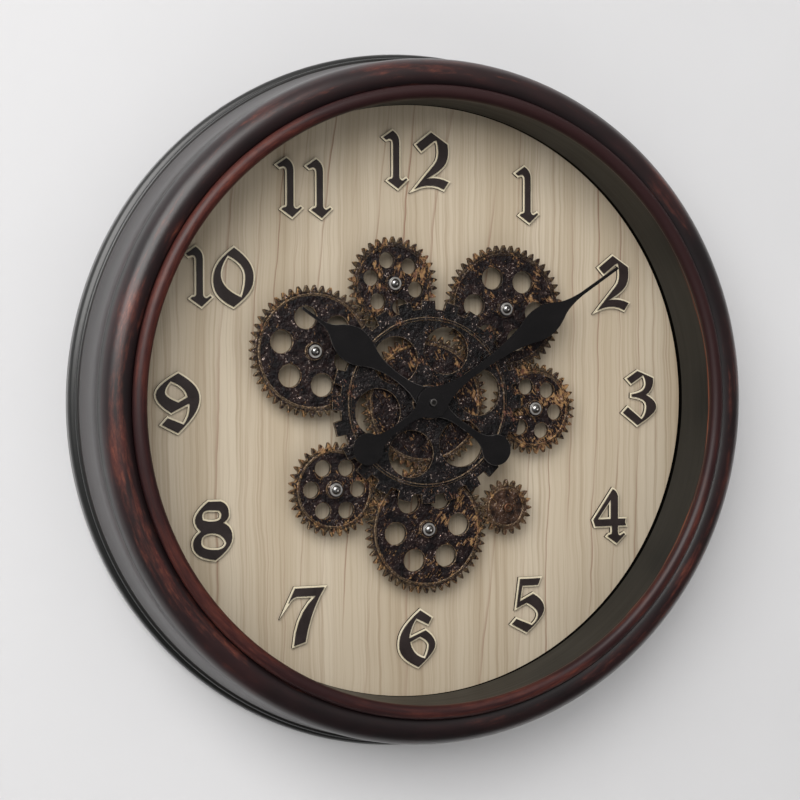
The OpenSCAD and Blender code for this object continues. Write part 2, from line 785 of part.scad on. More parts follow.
module medium_gear(place, turn, hole_turn) {
    on_dial(gear_rise)
        translate([place.x, place.y, 0])
            gear(medium_teeth, turn, gear_hub_r, hub_rise, journal_r + turning_gap,
                 medium_pitch * hole_share, medium_pitch * hole_ring_share, hole_turn);
}

module centre_gear() {
    color("#55402f")
        on_dial(gear_rise)
            gear(centre_teeth, centre_turn, centre_hub_r, 0.5 * hub_rise,
                 sleeve_journal_r + turning_gap, 0, 0, 0);
}

module left_gear() {
    color("#3a2f2a")
        large_gear(left_at, left_turn, left_hole_turn);
}

module top_gear() {
    color("#4b3a2c")
        medium_gear(top_at, top_turn, top_hole_turn);
}

module upper_right_gear() {
    color("#3a2f2a")
        large_gear(upper_right_at, upper_right_turn, upper_right_hole_turn);
}

module right_gear() {
    color("#4b3a2c")
        medium_gear(right_at, right_turn, right_hole_turn);
}

module lower_gear() {
    color("#3a2f2a")
        large_gear(lower_at, lower_turn, lower_hole_turn);
}

module lower_left_gear() {
    color("#4b3a2c")
        medium_gear(lower_left_at, lower_left_turn, 0);
}

module drive_pinion() {
    color("#5a412f")
        on_dial(gear_rise)
            translate([pinion_at.x, pinion_at.y, 0])
                difference() {
                    gear(pinion_teeth, pinion_turn, pinion_boss_r, pinion_boss_h,
                         motor_shaft_r + pin_gap, 0, 0, 0);
                    rotate([0, 0, dimple_turn])
                        translate([dimple_ring, 0, gear_t - dimple_deep])
                            cylinder(r = dimple_r, h = dimple_deep + cut);
                }
}

module motor_shaft() {
    color("#b0763f")
        on_dial(motor_foot)
            translate([pinion_at.x, pinion_at.y, 0])
                cylinder(r = motor_shaft_r, h = gear_face + pinion_boss_h - motor_foot);
}

module centre_sleeve() {
    color("#4a4038")
        on_dial()
            difference() {
                union() {
                    cylinder(r = sleeve_flange_r, h = flange_t);
                    cylinder(r = sleeve_body_r, h = gear_rise - run_gap);
                    cylinder(r = sleeve_journal_r, h = cover_back);
                }
                translate([0, 0, -cut])
                    cylinder(r = bushing_r + pin_gap, h = cover_back + 2 * cut);
            }
}

// Coarse square tooth outline
tooth_foot_share = 0.32;
tooth_tip_share = 0.27;
module cover_plate() {
    pitch_turn = 360 / cover_teeth;
    color("#332b27")
        on_dial(cover_back)
            difference() {
                union() {
                    linear_extrude(cover_t)
                        polygon([for (i = [0:cover_teeth - 1])
                            for (q = [[-tooth_foot_share, cover_root_r],
                                      [-tooth_tip_share, cover_r],
                                      [tooth_tip_share, cover_r],
                                      [tooth_foot_share, cover_root_r]])
                                along((i + q[0]) * pitch_turn, q[1])]);
                    translate([0, 0, cover_t])
                        ring(cover_ridge_r + cover_ridge_w, cover_ridge_r, cover_ridge_h);
                    translate([0, 0, cover_t])
                        cylinder(r = cover_boss_r, h = cover_boss_h);
                }
                translate([0, 0, -cut])
                    cylinder(r = bushing_r + pin_gap, h = cover_t + cover_boss_h + 2 * cut);
                for (i = [0:5])
                    rotate([0, 0, window_turn + i * 60])
                        translate([window_ring, 0, -cut])
                            cylinder(r = window_r, h = cover_t + 2 * cut);
            }
}

module bushing_nut() {
    color("#8d8468")
        on_dial(cover_face + cover_boss_h)
            difference() {
                cylinder(r = bushing_nut_r, h = bushing_nut_t, $fn = 6);
                translate([0, 0, -cut])
                    cylinder(r = bushing_r + pin_gap, h = bushing_nut_t + 2 * cut);
            }
}

module movement_case() {
    color("#1d1d1f")
        on_dial()
            difference() {
                union() {
                    translate([0, 0, -dial_t - case_thick])
                        rounded_box(movement_w, movement_w, case_thick, case_corner);
                    translate([0, 0, -dial_t])
                        cylinder(r = bushing_r, h = dial_t + bushing_top);
                }
                translate([0, 0, tube_foot - seat_gap])
                    cylinder(r = tube_r + turning_gap, h = bushing_top - tube_foot + cut);
                translate([0, 0, arbor_foot - seat_gap])
                    cylinder(r = arbor_r + turning_gap, h = bushing_top);
                translate([-bay_len / 2, movement_bay_y - bay_h / 2,
                           -dial_t - case_thick - cut])
                    cube([bay_len, bay_h, case_thick - case_skin + cut]);
                translate([0, knob_y, -dial_t - case_thick - cut])
                    cylinder(r = knob_r + 2 * knob_rib, h = knob_recess + cut);
                translate([0, knob_y, -dial_t - case_thick])
                    cylinder(r = knob_stem_r + turning_gap,
                             h = knob_recess + knob_stem_in + seat_gap);
            }
}

// Spring plates at the two ends of a cell
module contacts() {
    for (side = [-1, 1])
        translate([side * (bay_len - contact_t) / 2 - contact_t / 2,
                   -contact_w / 2, cell_z - contact_w / 2])
            cube([contact_t, contact_w, contact_w]);
}

module cell() {
    translate([-cell_len / 2, 0, cell_z])
        rotate([0, 90, 0])
            union() {
                cylinder(r = cell_r, h = cell_len - cell_nub);
                cylinder(r = cell_nub_r, h = cell_len);
            }
}

module movement_contacts() {
    color("#b9b9b4")
        on_dial()
            translate([0, movement_bay_y, 0])
                contacts();
}

module movement_battery() {
    color("#6e7a86")
        on_dial()
            translate([0, movement_bay_y, 0])
                cell();
}

module setting_knob() {
    color("#e4e2dc")
        on_dial(-dial_t - case_thick + seat_gap)
            translate([0, knob_y, 0])
                union() {
                    linear_extrude(knob_t)
                        polygon([for (i = [0:2 * knob_ribs - 1])
                            along(i * 180 / knob_ribs, knob_r + (i % 2) * knob_rib)]);
                    cylinder(r = knob_stem_r, h = knob_recess + knob_stem_in - seat_gap);
                }
}

module hour_tube() {
    color("#b08d4a")
        on_dial(tube_foot)
            ring(tube_r, arbor_r + turning_gap, hour_face - tube_foot);
}

module minute_arbor() {
    color("#b08d4a")
        on_dial(arbor_foot)
            cylinder(r = arbor_r, h = arbor_top - arbor_foot);
}

// Blade, hub, neck and tail disc of a hand that points along +x
module hand_outline(blade_shares, reach, leaf, tail) {
    union() {
        circle(r = hub_r);
        for (side = [-1, 1]) {
            polygon(concat([[0, 0]], bent_line(blade_shares, reach, side * leaf), [[reach, 0]]));
            polygon(concat([[0, 0]], bent_line(neck_shares, tail, side * hub_r), [[-tail, 0]]));
        }
        translate([-tail, 0])
            circle(r = tail_disc_r);
    }
}

module hand(blade_shares, reach, leaf, tail, bore_r) {
    difference() {
        union() {
            linear_extrude(hand_t)
                hand_outline(blade_shares, reach, leaf, tail);
            translate([0, 0, -collet_t])
                cylinder(r = collet_r, h = collet_t);
        }
        translate([0, 0, -collet_t - cut])
            cylinder(r = bore_r, h = hand_t + collet_t + 2 * cut);
    }
}

module hour_hand() {
    color("#1b1b1c")
        on_dial(hour_back)
            rotate([0, 0, hour_turn])
                hand(hour_blade_shares, hour_reach, hour_leaf, hour_tail,
                     tube_r + pin_gap);
}

module minute_hand() {
    color("#1b1b1c")
        on_dial(minute_back)
            rotate([0, 0, minute_turn])
                hand(minute_blade_shares, minute_reach, minute_leaf, minute_tail,
                     arbor_r + pin_gap);
}

module hand_nut() {
    color("#1b1b1c")
        on_dial(minute_face)
            difference() {
                cylinder(r1 = hand_nut_r, r2 = hand_nut_r * 0.8, h = hand_nut_t);
                translate([0, 0, -cut])
                    cylinder(r = arbor_r + pin_gap, h = hand_nut_t + 2 * cut);
            }
}

// Middle of the gear motor's case
motor_x = pinion_at.x + motor_shift_x;
motor_y = pinion_at.y;

module motor_case() {
    color("#232326")
        on_dial()
            difference() {
                translate([motor_x, motor_y, 0])
                    union() {
                        translate([0, 0, -dial_t - case_thick])
                            rounded_box(motor_w, motor_h, case_thick, case_corner);
                        translate([0, 0, -dial_t - ear_t])
                            rounded_box(motor_w + 2 * ear_w, ear_h, ear_t, ear_t);
                    }
                translate([pinion_at.x, pinion_at.y, motor_foot - seat_gap])
                    cylinder(r = motor_shaft_r + turning_gap, h = -motor_foot);
                translate([motor_x - bay_len / 2, motor_y + motor_bay_y - bay_h / 2,
                           -dial_t - case_thick - cut])
                    cube([bay_len, bay_h, case_thick - case_skin + cut]);
                for (side = [-1, 1])
                    translate([motor_x + side * (motor_w + ear_w) / 2, motor_y,
                               -dial_t - ear_t - cut])
                        cylinder(r = motor_screw_r + pin_gap, h = ear_t + 2 * cut);
                translate([motor_x + switch_x - switch_w / 2 - seat_gap,
                           motor_y + switch_y - switch_h / 2 - seat_gap,
                           -dial_t - case_thick - cut])
                    cube([switch_w + switch_travel + 2 * seat_gap,
                          switch_h + 2 * seat_gap, switch_in + cut]);
            }
}

module motor_contacts() {
    color("#b9b9b4")
        on_dial()
            translate([motor_x, motor_y + motor_bay_y, 0])
                contacts();
}

module motor_battery() {
    color("#6e7a86")
        on_dial()
            translate([motor_x, motor_y + motor_bay_y, 0])
                cell();
}

module motor_screws() {
    color("#8f8f8a")
        on_dial(-dial_t - ear_t)
            for (side = [-1, 1])
                translate([motor_x + side * (motor_w + ear_w) / 2, motor_y, 0])
                    union() {
                        cylinder(r = motor_screw_r, h = ear_t + motor_screw_in - seat_gap);
                        translate([0, 0, -motor_head_t])
                            cylinder(r = motor_head_r, h = motor_head_t);
                    }
}

module power_switch() {
    color("#d8d6d0")
        on_dial(-dial_t - case_thick - switch_proud)
            translate([motor_x + switch_x - switch_w / 2,
                       motor_y + switch_y - switch_h / 2, 0])
                cube([switch_w, switch_h, switch_in + switch_proud - seat_gap]);
}

case_ring();
inner_liner();
dial_board();
dial_screws();
hanger_block();
hanger_plate();
hanger_screws();
numeral_backings();
numeral_faces();
gear_posts();
post_nuts();
gear_washers();
gear_screws();
centre_gear();
left_gear();
top_gear();
upper_right_gear();
right_gear();
lower_gear();
lower_left_gear();
drive_pinion();
motor_shaft();
centre_sleeve();
cover_plate();
bushing_nut();
movement_case();
movement_contacts();
movement_battery();
setting_knob();
hour_tube();
minute_arbor();
hour_hand();
minute_hand();
hand_nut();
motor_case();
motor_contacts();
motor_battery();
motor_screws();
power_switch();
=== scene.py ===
import math

import bmesh
import bpy
from mathutils import Matrix, Vector


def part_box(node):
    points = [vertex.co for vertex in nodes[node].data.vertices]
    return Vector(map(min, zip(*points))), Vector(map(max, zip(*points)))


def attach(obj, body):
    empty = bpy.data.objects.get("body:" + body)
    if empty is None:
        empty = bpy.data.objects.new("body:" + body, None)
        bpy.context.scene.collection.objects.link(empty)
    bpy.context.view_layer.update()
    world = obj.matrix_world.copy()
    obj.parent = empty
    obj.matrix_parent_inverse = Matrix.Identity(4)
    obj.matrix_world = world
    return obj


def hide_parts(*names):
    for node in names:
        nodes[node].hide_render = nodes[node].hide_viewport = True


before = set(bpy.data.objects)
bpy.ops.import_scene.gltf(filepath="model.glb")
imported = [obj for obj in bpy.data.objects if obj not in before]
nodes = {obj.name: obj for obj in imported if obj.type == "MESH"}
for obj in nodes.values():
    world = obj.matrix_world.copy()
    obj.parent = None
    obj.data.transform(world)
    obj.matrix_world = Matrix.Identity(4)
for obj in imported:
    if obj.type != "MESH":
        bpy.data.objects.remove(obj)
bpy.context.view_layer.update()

mm = 0.001
dialLow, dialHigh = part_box("dial_board")
axisX = (dialLow[0] + dialHigh[0]) / 2
axisZ = (dialLow[2] + dialHigh[2]) / 2
dialY = dialLow[1]  # the dial's face; pieces in front of it have a smaller y
sharpAngle = 38  # degrees; flatter edges than this are shaded as one surface
print("frame loaded, dial face at y =", round(dialY, 4))


# node tree helpers
def tone(red, green, blue):
    # 0 to 255 as seen on screen, turned into the linear colour that shaders use
    parts = [c / 255 for c in (red, green, blue)]
    return tuple(c / 12.92 if c <= 0.04045 else ((c + 0.055) / 1.055) ** 2.4 for c in parts) + (1.0,)


def put(tree, kind, inputs=None, **settings):
    item = tree.nodes.new(kind)
    for key, value in settings.items():
        setattr(item, key, value)
    for key, value in (inputs or {}).items():
        if isinstance(value, bpy.types.NodeSocket):
            tree.links.new(value, item.inputs[key])
        else:
            item.inputs[key].default_value = value
    return item


def calc(tree, operation, first, second=0.0):
    return put(tree, "ShaderNodeMath", {0: first, 1: second}, operation=operation).outputs[0]


def times(tree, first, second):
    return calc(tree, "MULTIPLY", first, second)


def plus(tree, first, second):
    return calc(tree, "ADD", first, second)


def minus(tree, first, second):
    return calc(tree, "SUBTRACT", first, second)


def blendColour(tree, factor, first, second):
    return put(tree, "ShaderNodeMix", {0: factor, 6: first, 7: second}, data_type="RGBA").outputs[2]


def between(tree, value, low, high, outLow=0.0, outHigh=1.0):
    return put(tree, "ShaderNodeMapRange", {0: value, 1: low, 2: high, 3: outLow, 4: outHigh}).outputs[0]


def noise(tree, place, scale, detail=4.0, rough=0.55, twist=0.0):
    return put(tree, "ShaderNodeTexNoise", {"Vector": place, "Scale": scale, "Detail": detail,
                                            "Roughness": rough, "Distortion": twist}).outputs[0]


def stretched(tree, place, size):
    return put(tree, "ShaderNodeMapping", {"Vector": place, "Scale": size}).outputs[0]


def scaled(tree, place, size):
    return put(tree, "ShaderNodeVectorMath", {0: place, 3: size}, operation="SCALE").outputs[0]


def objectPlace(tree):
    return put(tree, "ShaderNodeTexCoord").outputs["Object"]


def aroundAxis(tree, centre):
    # the place measured from a centre, the same split into its axes, and the radius round a line along y
    away = put(tree, "ShaderNodeVectorMath", {0: objectPlace(tree), 1: centre}, operation="SUBTRACT").outputs[0]
    split = put(tree, "ShaderNodeSeparateXYZ", {0: away})
    squares = plus(tree, times(tree, split.outputs[0], split.outputs[0]),
                   times(tree, split.outputs[2], split.outputs[2]))
    return away, split, calc(tree, "SQRT", squares)


def newGroup(name, inputs, outputs):
    group = bpy.data.node_groups.new(name, "ShaderNodeTree")
    for label, kind, value in inputs:
        socket = group.interface.new_socket(label, in_out="INPUT", socket_type=kind)
        socket.default_value = value
    for label, kind in outputs:
        group.interface.new_socket(label, in_out="OUTPUT", socket_type=kind)
    return group, group.nodes.new("NodeGroupInput"), group.nodes.new("NodeGroupOutput")


def useGroup(tree, group, **values):
    item = tree.nodes.new("ShaderNodeGroup")
    item.node_tree = group
    for key, value in values.items():
        socket = item.inputs[key]
        if isinstance(value, bpy.types.NodeSocket):
            tree.links.new(value, socket)
        else:
            socket.default_value = value
    return item


def newMaterial(name, **shine):
    made = bpy.data.materials.new(name)
    made.use_nodes = True
    tree = made.node_tree
    tree.nodes.clear()
    out = tree.nodes.new("ShaderNodeOutputMaterial")
    shader = tree.nodes.new("ShaderNodeBsdfPrincipled")
    tree.links.new(shader.outputs[0], out.inputs[0])
    for key, value in shine.items():
        shader.inputs[key.replace("_", " ")].default_value = value
    return made, tree, shader


def giveBump(tree, shader, height, strength, distance):
    bump = put(tree, "ShaderNodeBump", {"Height": height, "Strength": strength, "Distance": distance})
    tree.links.new(bump.outputs[0], shader.inputs["Normal"])


# shared effects
colourKind, valueKind, vectorKind = "NodeSocketColor", "NodeSocketFloat", "NodeSocketVector"

# place round an axis along y: a point on a circle, radius, turn and depth
roundPlace, gi, go = newGroup(
    "roundPlace", [("Centre", vectorKind, (0, 0, 0)), ("Arc Radius", valueKind, 0.25)],
    [("Ring", vectorKind), ("Radius", valueKind), ("Turn", valueKind), ("Depth", valueKind)])
t = roundPlace
away, split, radius = aroundAxis(t, gi.outputs["Centre"])
share = calc(t, "DIVIDE", gi.outputs["Arc Radius"], radius)
ring = put(t, "ShaderNodeCombineXYZ", {0: times(t, split.outputs[0], share), 1: 0.0,
                                       2: times(t, split.outputs[2], share)}).outputs[0]
t.links.new(ring, go.inputs["Ring"])
t.links.new(radius, go.inputs["Radius"])
t.links.new(calc(t, "ARCTAN2", split.outputs[2], split.outputs[0]), go.inputs["Turn"])
t.links.new(split.outputs[1], go.inputs["Depth"])

# soft mottling and fine grain of paint or moulded plastic
surfaceGrain, gi, go = newGroup(
    "surfaceGrain",
    [("Size", valueKind, 200.0), ("Base", colourKind, (0.1, 0.1, 0.1, 1)), ("Other", colourKind, (0.2, 0.2, 0.2, 1)),
     ("Rough Low", valueKind, 0.3), ("Rough High", valueKind, 0.5), ("Edge Share", valueKind, 0.0),
     ("Edge Tone", colourKind, (0.3, 0.3, 0.3, 1))],
    [("Colour", colourKind), ("Roughness", valueKind), ("Height", valueKind)])
t = surfaceGrain
mottle = {"broadScale": 0.12, "broadShare": 0.6, "fineShare": 0.4, "range": (0.38, 0.62), "wornRange": (0.40, 0.55)}
coords = objectPlace(t)
broad = noise(t, coords, times(t, gi.outputs["Size"], mottle["broadScale"]), 3)
fine = noise(t, coords, gi.outputs["Size"], 5, 0.6)
mixed = plus(t, times(t, broad, mottle["broadShare"]), times(t, fine, mottle["fineShare"]))
spread = between(t, mixed, *mottle["range"])
plain = blendColour(t, spread, gi.outputs["Base"], gi.outputs["Other"])
edge = put(t, "ShaderNodeAttribute", attribute_name="edgeRub").outputs["Fac"]  # 1 on rounded edges
# lighter rounded edges: wear on most finishes, a painted highlight on the hands
worn = times(t, times(t, edge, between(t, mixed, *mottle["wornRange"])), gi.outputs["Edge Share"])
t.links.new(blendColour(t, worn, plain, gi.outputs["Edge Tone"]), go.inputs["Colour"])
t.links.new(between(t, spread, 0.0, 1.0, gi.outputs["Rough Low"], gi.outputs["Rough High"]), go.inputs["Roughness"])
t.links.new(fine, go.inputs["Height"])

# dry brushed casting: near black paint, gold and copper strokes in patches, paler teeth as a painted highlight,
# rubbed edges
castLook = {
    "toothHighlight": tone(98, 80, 54), "rubbed": tone(176, 150, 120), "glint": tone(196, 176, 166),
    "strokeScale": (560, 560, 150), "crumbScale": 640.0, "patchScale": 64.0, "blotchScale": 120.0,
    "goldScale": 300.0, "glintScale": 700.0, "gritScale": 420.0, "lumpScale": 190.0,
    "strokeShare": 0.66, "crumbShare": 0.34, "patchShare": 0.55, "edgeShare": 0.07,
    "cutRange": (0.74, 0.42), "cutSoft": 0.035,  # how much of the level shows as strokes, from none to all
    "toothInside": 0.0035, "toothOutside": 0.0005,  # metres below and above the root, where the teeth start
    "fleckCover": 0.92, "fleckMetal": 0.2, "bareMetal": 0.85, "roughRange": (0.14, 0.46), "bareRough": 0.8,
}
castPaint, gi, go = newGroup(
    "castPaint",
    [("Centre", vectorKind, (0, 0, 0)), ("Root", valueKind, 0.04), ("Stroke Turn", valueKind, 0.7),
     ("Face Strokes", valueKind, 0.3), ("Tooth Strokes", valueKind, 0.6), ("Stroke Size", valueKind, 1.0),
     ("Dark", colourKind, tone(15, 11, 13)), ("Warm", colourKind, tone(38, 25, 24)),
     ("Gold", colourKind, tone(166, 130, 88)), ("Copper", colourKind, tone(104, 70, 54))],
    [("Colour", colourKind), ("Metal", valueKind), ("Roughness", valueKind), ("Height", valueKind)])
t = castPaint
coords = objectPlace(t)
away, split, radius = aroundAxis(t, gi.outputs["Centre"])
teeth = between(t, radius, minus(t, gi.outputs["Root"], castLook["toothInside"]),
                plus(t, gi.outputs["Root"], castLook["toothOutside"]))
turned = put(t, "ShaderNodeVectorRotate", {0: away, 2: (0, 1, 0), 3: gi.outputs["Stroke Turn"]},
             rotation_type="AXIS_ANGLE").outputs[0]
sized = scaled(t, turned, gi.outputs["Stroke Size"])
strokes = noise(t, stretched(t, sized, castLook["strokeScale"]), 1.0, 4, 0.6, 0.6)
crumbs = noise(t, sized, castLook["crumbScale"], 3, 0.6)
patches = noise(t, away, castLook["patchScale"], 2, 0.5)
blotch = noise(t, coords, castLook["blotchScale"], 5, 0.6)
amount = plus(t, gi.outputs["Face Strokes"],
              times(t, teeth, minus(t, gi.outputs["Tooth Strokes"], gi.outputs["Face Strokes"])))
level = plus(t, times(t, strokes, castLook["strokeShare"]), times(t, crumbs, castLook["crumbShare"]))
level = plus(t, level, times(t, minus(t, patches, 0.5), castLook["patchShare"]))
edge = put(t, "ShaderNodeAttribute", attribute_name="edgeRub").outputs["Fac"]
level = plus(t, level, times(t, edge, castLook["edgeShare"]))
cut = between(t, amount, 0.0, 1.0, *castLook["cutRange"])
flecks = between(t, level, cut, plus(t, cut, castLook["cutSoft"]))
base = blendColour(t, between(t, blotch, 0.40, 0.66), gi.outputs["Dark"], gi.outputs["Warm"])
# painted highlight: a paler colour over the teeth
toothHighlightShare = times(t, teeth, between(t, crumbs, 0.42, 0.62, 0.0, 0.62))
base = blendColour(t, toothHighlightShare, base, castLook["toothHighlight"])
rub = times(t, edge, between(t, crumbs, 0.44, 0.56, 0.08, 0.85))
base = blendColour(t, rub, base, castLook["rubbed"])
goldPatches = between(t, noise(t, coords, castLook["goldScale"], 3), 0.40, 0.58)
gold = blendColour(t, goldPatches, gi.outputs["Copper"], gi.outputs["Gold"])
speck = between(t, noise(t, coords, castLook["glintScale"], 2, 0.6), 0.625, 0.665)
glint = times(t, speck, between(t, blotch, 0.50, 0.58))  # small bright specks of bare metal, in places
painted = blendColour(t, times(t, flecks, castLook["fleckCover"]), base, gold)
t.links.new(blendColour(t, glint, painted, castLook["glint"]), go.inputs["Colour"])
bare = calc(t, "MAXIMUM", times(t, glint, castLook["bareMetal"]), times(t, rub, castLook["bareMetal"]))
t.links.new(calc(t, "MAXIMUM", times(t, flecks, castLook["fleckMetal"]), bare), go.inputs["Metal"])
dull = between(t, plus(t, blotch, times(t, flecks, 0.3)), 0.35, 0.95, *castLook["roughRange"])
polish = between(t, bare, 0.0, 0.8, 1.0, castLook["bareRough"])
t.links.new(times(t, dull, polish), go.inputs["Roughness"])
grit = noise(t, coords, castLook["gritScale"], 5, 0.65)
lumps = noise(t, coords, castLook["lumpScale"], 3, 0.5)
height = plus(t, plus(t, times(t, grit, 0.6), times(t, lumps, 0.8)), times(t, flecks, 0.25))
t.links.new(height, go.inputs["Height"])

# wood with the grain along z: fine straight lines, and thin veins where a smooth field crosses its levels
woodLook = {
    "swayScale": (6, 6, 2.6), "swayReach": 0.022, "shakeScale": (30, 30, 22), "shakeReach": 0.0055,
    # scales across and along the grain
    "bands": (22.0, 0.8), "lines": (230.0, 1.8), "fineLines": (620.0, 6.0), "field": (6.0, 0.6),
    "patches": (34.0, 5.0), "pores": (1500, 1500, 40), "fieldSteps": 12.0, "acrossSteps": 46.0,
    "lineShare": 0.38, "fineShare": 0.32, "veinShare": (0.05, 0.78), "poreShare": 0.2,
}
woodGrain, gi, go = newGroup(
    "woodGrain",
    [("Pale", colourKind, tone(202, 189, 168)), ("Mid", colourKind, tone(186, 171, 148)),
     ("Dark", colourKind, tone(148, 126, 100)), ("Vein", colourKind, tone(134, 94, 74)), ("Size", valueKind, 1.0)],
    [("Colour", colourKind), ("Height", valueKind)])
t = woodGrain
sized = scaled(t, objectPlace(t), gi.outputs["Size"])
split = put(t, "ShaderNodeSeparateXYZ", {0: sized})
sway = noise(t, stretched(t, sized, woodLook["swayScale"]), 1.0, 3, 0.5)
shake = noise(t, stretched(t, sized, woodLook["shakeScale"]), 1.0, 2, 0.5)
across = plus(t, split.outputs[0], times(t, minus(t, sway, 0.5), woodLook["swayReach"]))
across = plus(t, across, times(t, minus(t, shake, 0.5), woodLook["shakeReach"]))


def alongGrain(tree, name, detail, rough):
    # noise that is narrow across the grain and long along it
    acrossScale, alongScale = woodLook[name]
    where = put(tree, "ShaderNodeCombineXYZ", {0: times(tree, across, acrossScale), 1: 0.0,
                                               2: times(tree, split.outputs[2], alongScale)}).outputs[0]
    return noise(tree, where, 1.0, detail, rough)


bands = alongGrain(t, "bands", 2, 0.5)
lines = alongGrain(t, "lines", 3, 0.65)
fineLines = alongGrain(t, "fineLines", 3, 0.6)
field = alongGrain(t, "field", 1, 0.4)
steps = calc(t, "FRACT", plus(t, times(t, field, woodLook["fieldSteps"]), times(t, across, woodLook["acrossSteps"])))
thin = times(t, between(t, steps, 0.91, 0.975), between(t, steps, 1.0, 0.985))
patchy = between(t, alongGrain(t, "patches", 2, 0.5), 0.40, 0.66)
pores = noise(t, stretched(t, sized, woodLook["pores"]), 1.0, 2, 0.6)
pale = blendColour(t, between(t, bands, 0.36, 0.64), gi.outputs["Pale"], gi.outputs["Mid"])
lined = blendColour(t, times(t, between(t, lines, 0.50, 0.66), woodLook["lineShare"]), pale, gi.outputs["Dark"])
lined = blendColour(t, times(t, between(t, fineLines, 0.50, 0.70), woodLook["fineShare"]), lined, gi.outputs["Dark"])
veins = times(t, thin, between(t, patchy, 0.0, 1.0, *woodLook["veinShare"]))
veined = blendColour(t, veins, lined, gi.outputs["Vein"])
veined = blendColour(t, times(t, between(t, pores, 0.62, 0.8), woodLook["poreShare"]), veined, gi.outputs["Dark"])
t.links.new(veined, go.inputs["Colour"])
t.links.new(plus(t, fineLines, times(t, pores, 0.5)), go.inputs["Height"])
print("shared effects made")

# finishes
frameFinish = {
    # the brighter rub tone also paints a thin highlight along the bead's edge
    "base": tone(42, 20, 21), "deep": tone(20, 11, 13), "rub": tone(92, 38, 30), "rubAndHighlight": tone(148, 80, 54),
    # the side's lighter grey is a painted sheen for the bright wall it reflects; the rim's near black is the base
    # rim's own colour and also paints shade beside the half round
    "beadRub": tone(78, 33, 27), "beadBright": tone(120, 60, 44), "rim": tone(13, 13, 11), "side": tone(66, 64, 64),
    # the foot's near black is painted shade, for the shadow in the gap where the liner meets the dial
    "wallDeep": tone(23, 24, 23), "wallPale": tone(28, 29, 28), "foot": tone(3, 3, 3),
    "rubLevels": (0.54, 0.74), "beadLevels": (0.42, 0.66),  # how high the paint's noise has to be for a rub
    "coatRound": 0.52, "coatSide": 0.82, "coatShaded": 0.08,
}
# where the frame's masks start and end, in metres: radii from the axis, depths from the dial (less is in front);
# turns are a middle and a half width in degrees, counted from 3 o'clock towards 12
frameMasks = {
    "roundRadius": (0.2570, 0.2530), "roundDepth": (-0.044, -0.049),
    "crestInside": (0.2405, 0.2440), "crestOutside": (0.2540, 0.2500),
    "grooveRadius": (0.2420, 0.2385), "grooveDepth": (-0.044, -0.048),
    "sideRadius": (0.2566, 0.2576), "shadedDepth": (-0.022, -0.033), "rimRadius": (0.2636, 0.2644),
    "leftTurn": (176, 44), "rightTurn": (-15, 80),
}
linerMasks = {
    "lipDepth": (-0.0475, -0.0505), "highlightLineFrom": (-0.0488, -0.0496), "highlightLineTo": (-0.0514, -0.0504),
    "footShadeDepth": (-0.0068, -0.0076), "raggedReach": 0.012,
    "lowTurn": (-85, 48), "lowRightTurn": (-35, 60), "upperLeftTurn": (152, 42), "leftTurn": (212, 34),
    "highlightLineTurn": (-55, 85),
}


def ringNoise(tree, place, along, across, detail=4.0, rough=0.6, twist=0.0):
    # noise drawn out along a ring, with no seam: the radius is its fourth coordinate
    ring = scaled(tree, place.outputs["Ring"], along)
    deep = put(tree, "ShaderNodeCombineXYZ", {0: 0.0, 1: times(tree, place.outputs["Depth"], across), 2: 0.0})
    where = put(tree, "ShaderNodeVectorMath", {0: ring, 1: deep.outputs[0]}, operation="ADD").outputs[0]
    return put(tree, "ShaderNodeTexNoise", {"Vector": where, "W": times(tree, place.outputs["Radius"], across),
                                            "Scale": 1.0, "Detail": detail, "Roughness": rough, "Distortion": twist},
               noise_dimensions="4D").outputs[0]


def atTurn(tree, turn, middle, halfWidth):
    # 1 where the turn round the axis is near the middle angle, falling softly to 0
    apart = calc(tree, "COSINE", minus(tree, turn, math.radians(middle)))
    return between(tree, apart, math.cos(math.radians(halfWidth)), 1.0)


def ringPaint(tree, arcRadius, streakSize, cloudSize, speckSize):
    # what the frame and the liner share: the place round the axis, brushed streaks, soft clouds and fine specks
    place = useGroup(tree, roundPlace, **{"Centre": (axisX, dialY, axisZ), "Arc Radius": arcRadius})
    streaks, clouds, specks = (ringNoise(tree, place, *size) for size in (streakSize, cloudSize, speckSize))
    return place, streaks, clouds, specks


frameMat, t, shader = newMaterial("espressoFrame", Specular_IOR_Level=0.35, Coat_Roughness=0.31)
place, streaks, clouds, specks = ringPaint(t, 0.25, (16, 220, 5, 0.62, 0.4), (14, 40, 3), (160, 700, 4, 0.7))
radius, turn, depth = (place.outputs[key] for key in ("Radius", "Turn", "Depth"))
onRound = times(t, between(t, radius, *frameMasks["roundRadius"]), between(t, depth, *frameMasks["roundDepth"]))
crest = times(t, between(t, radius, *frameMasks["crestInside"]), between(t, radius, *frameMasks["crestOutside"]))
# painted shade: the groove between the half round and the bead darkens towards the deep tone
paintedGrooveShade = times(t, between(t, radius, *frameMasks["grooveRadius"]), between(t, depth, *frameMasks["grooveDepth"]))
leftRed = times(t, atTurn(t, turn, *frameMasks["leftTurn"]), crest)
rightRed = times(t, atTurn(t, turn, *frameMasks["rightTurn"]), crest)
level = plus(t, times(t, streaks, 0.5), times(t, clouds, 0.5))
level = plus(t, level, times(t, minus(t, specks, 0.5), 0.16))
level = plus(t, level, plus(t, times(t, leftRed, 0.12), times(t, rightRed, 0.05)))
rubbed = times(t, between(t, level, *frameFinish["rubLevels"]), between(t, onRound, 0.0, 1.0, 0.02, 0.80))
ground = blendColour(t, between(t, clouds, 0.35, 0.65), frameFinish["deep"], frameFinish["base"])
ground = blendColour(t, times(t, paintedGrooveShade, 0.9), ground, frameFinish["deep"])
onSide = between(t, radius, *frameMasks["sideRadius"])
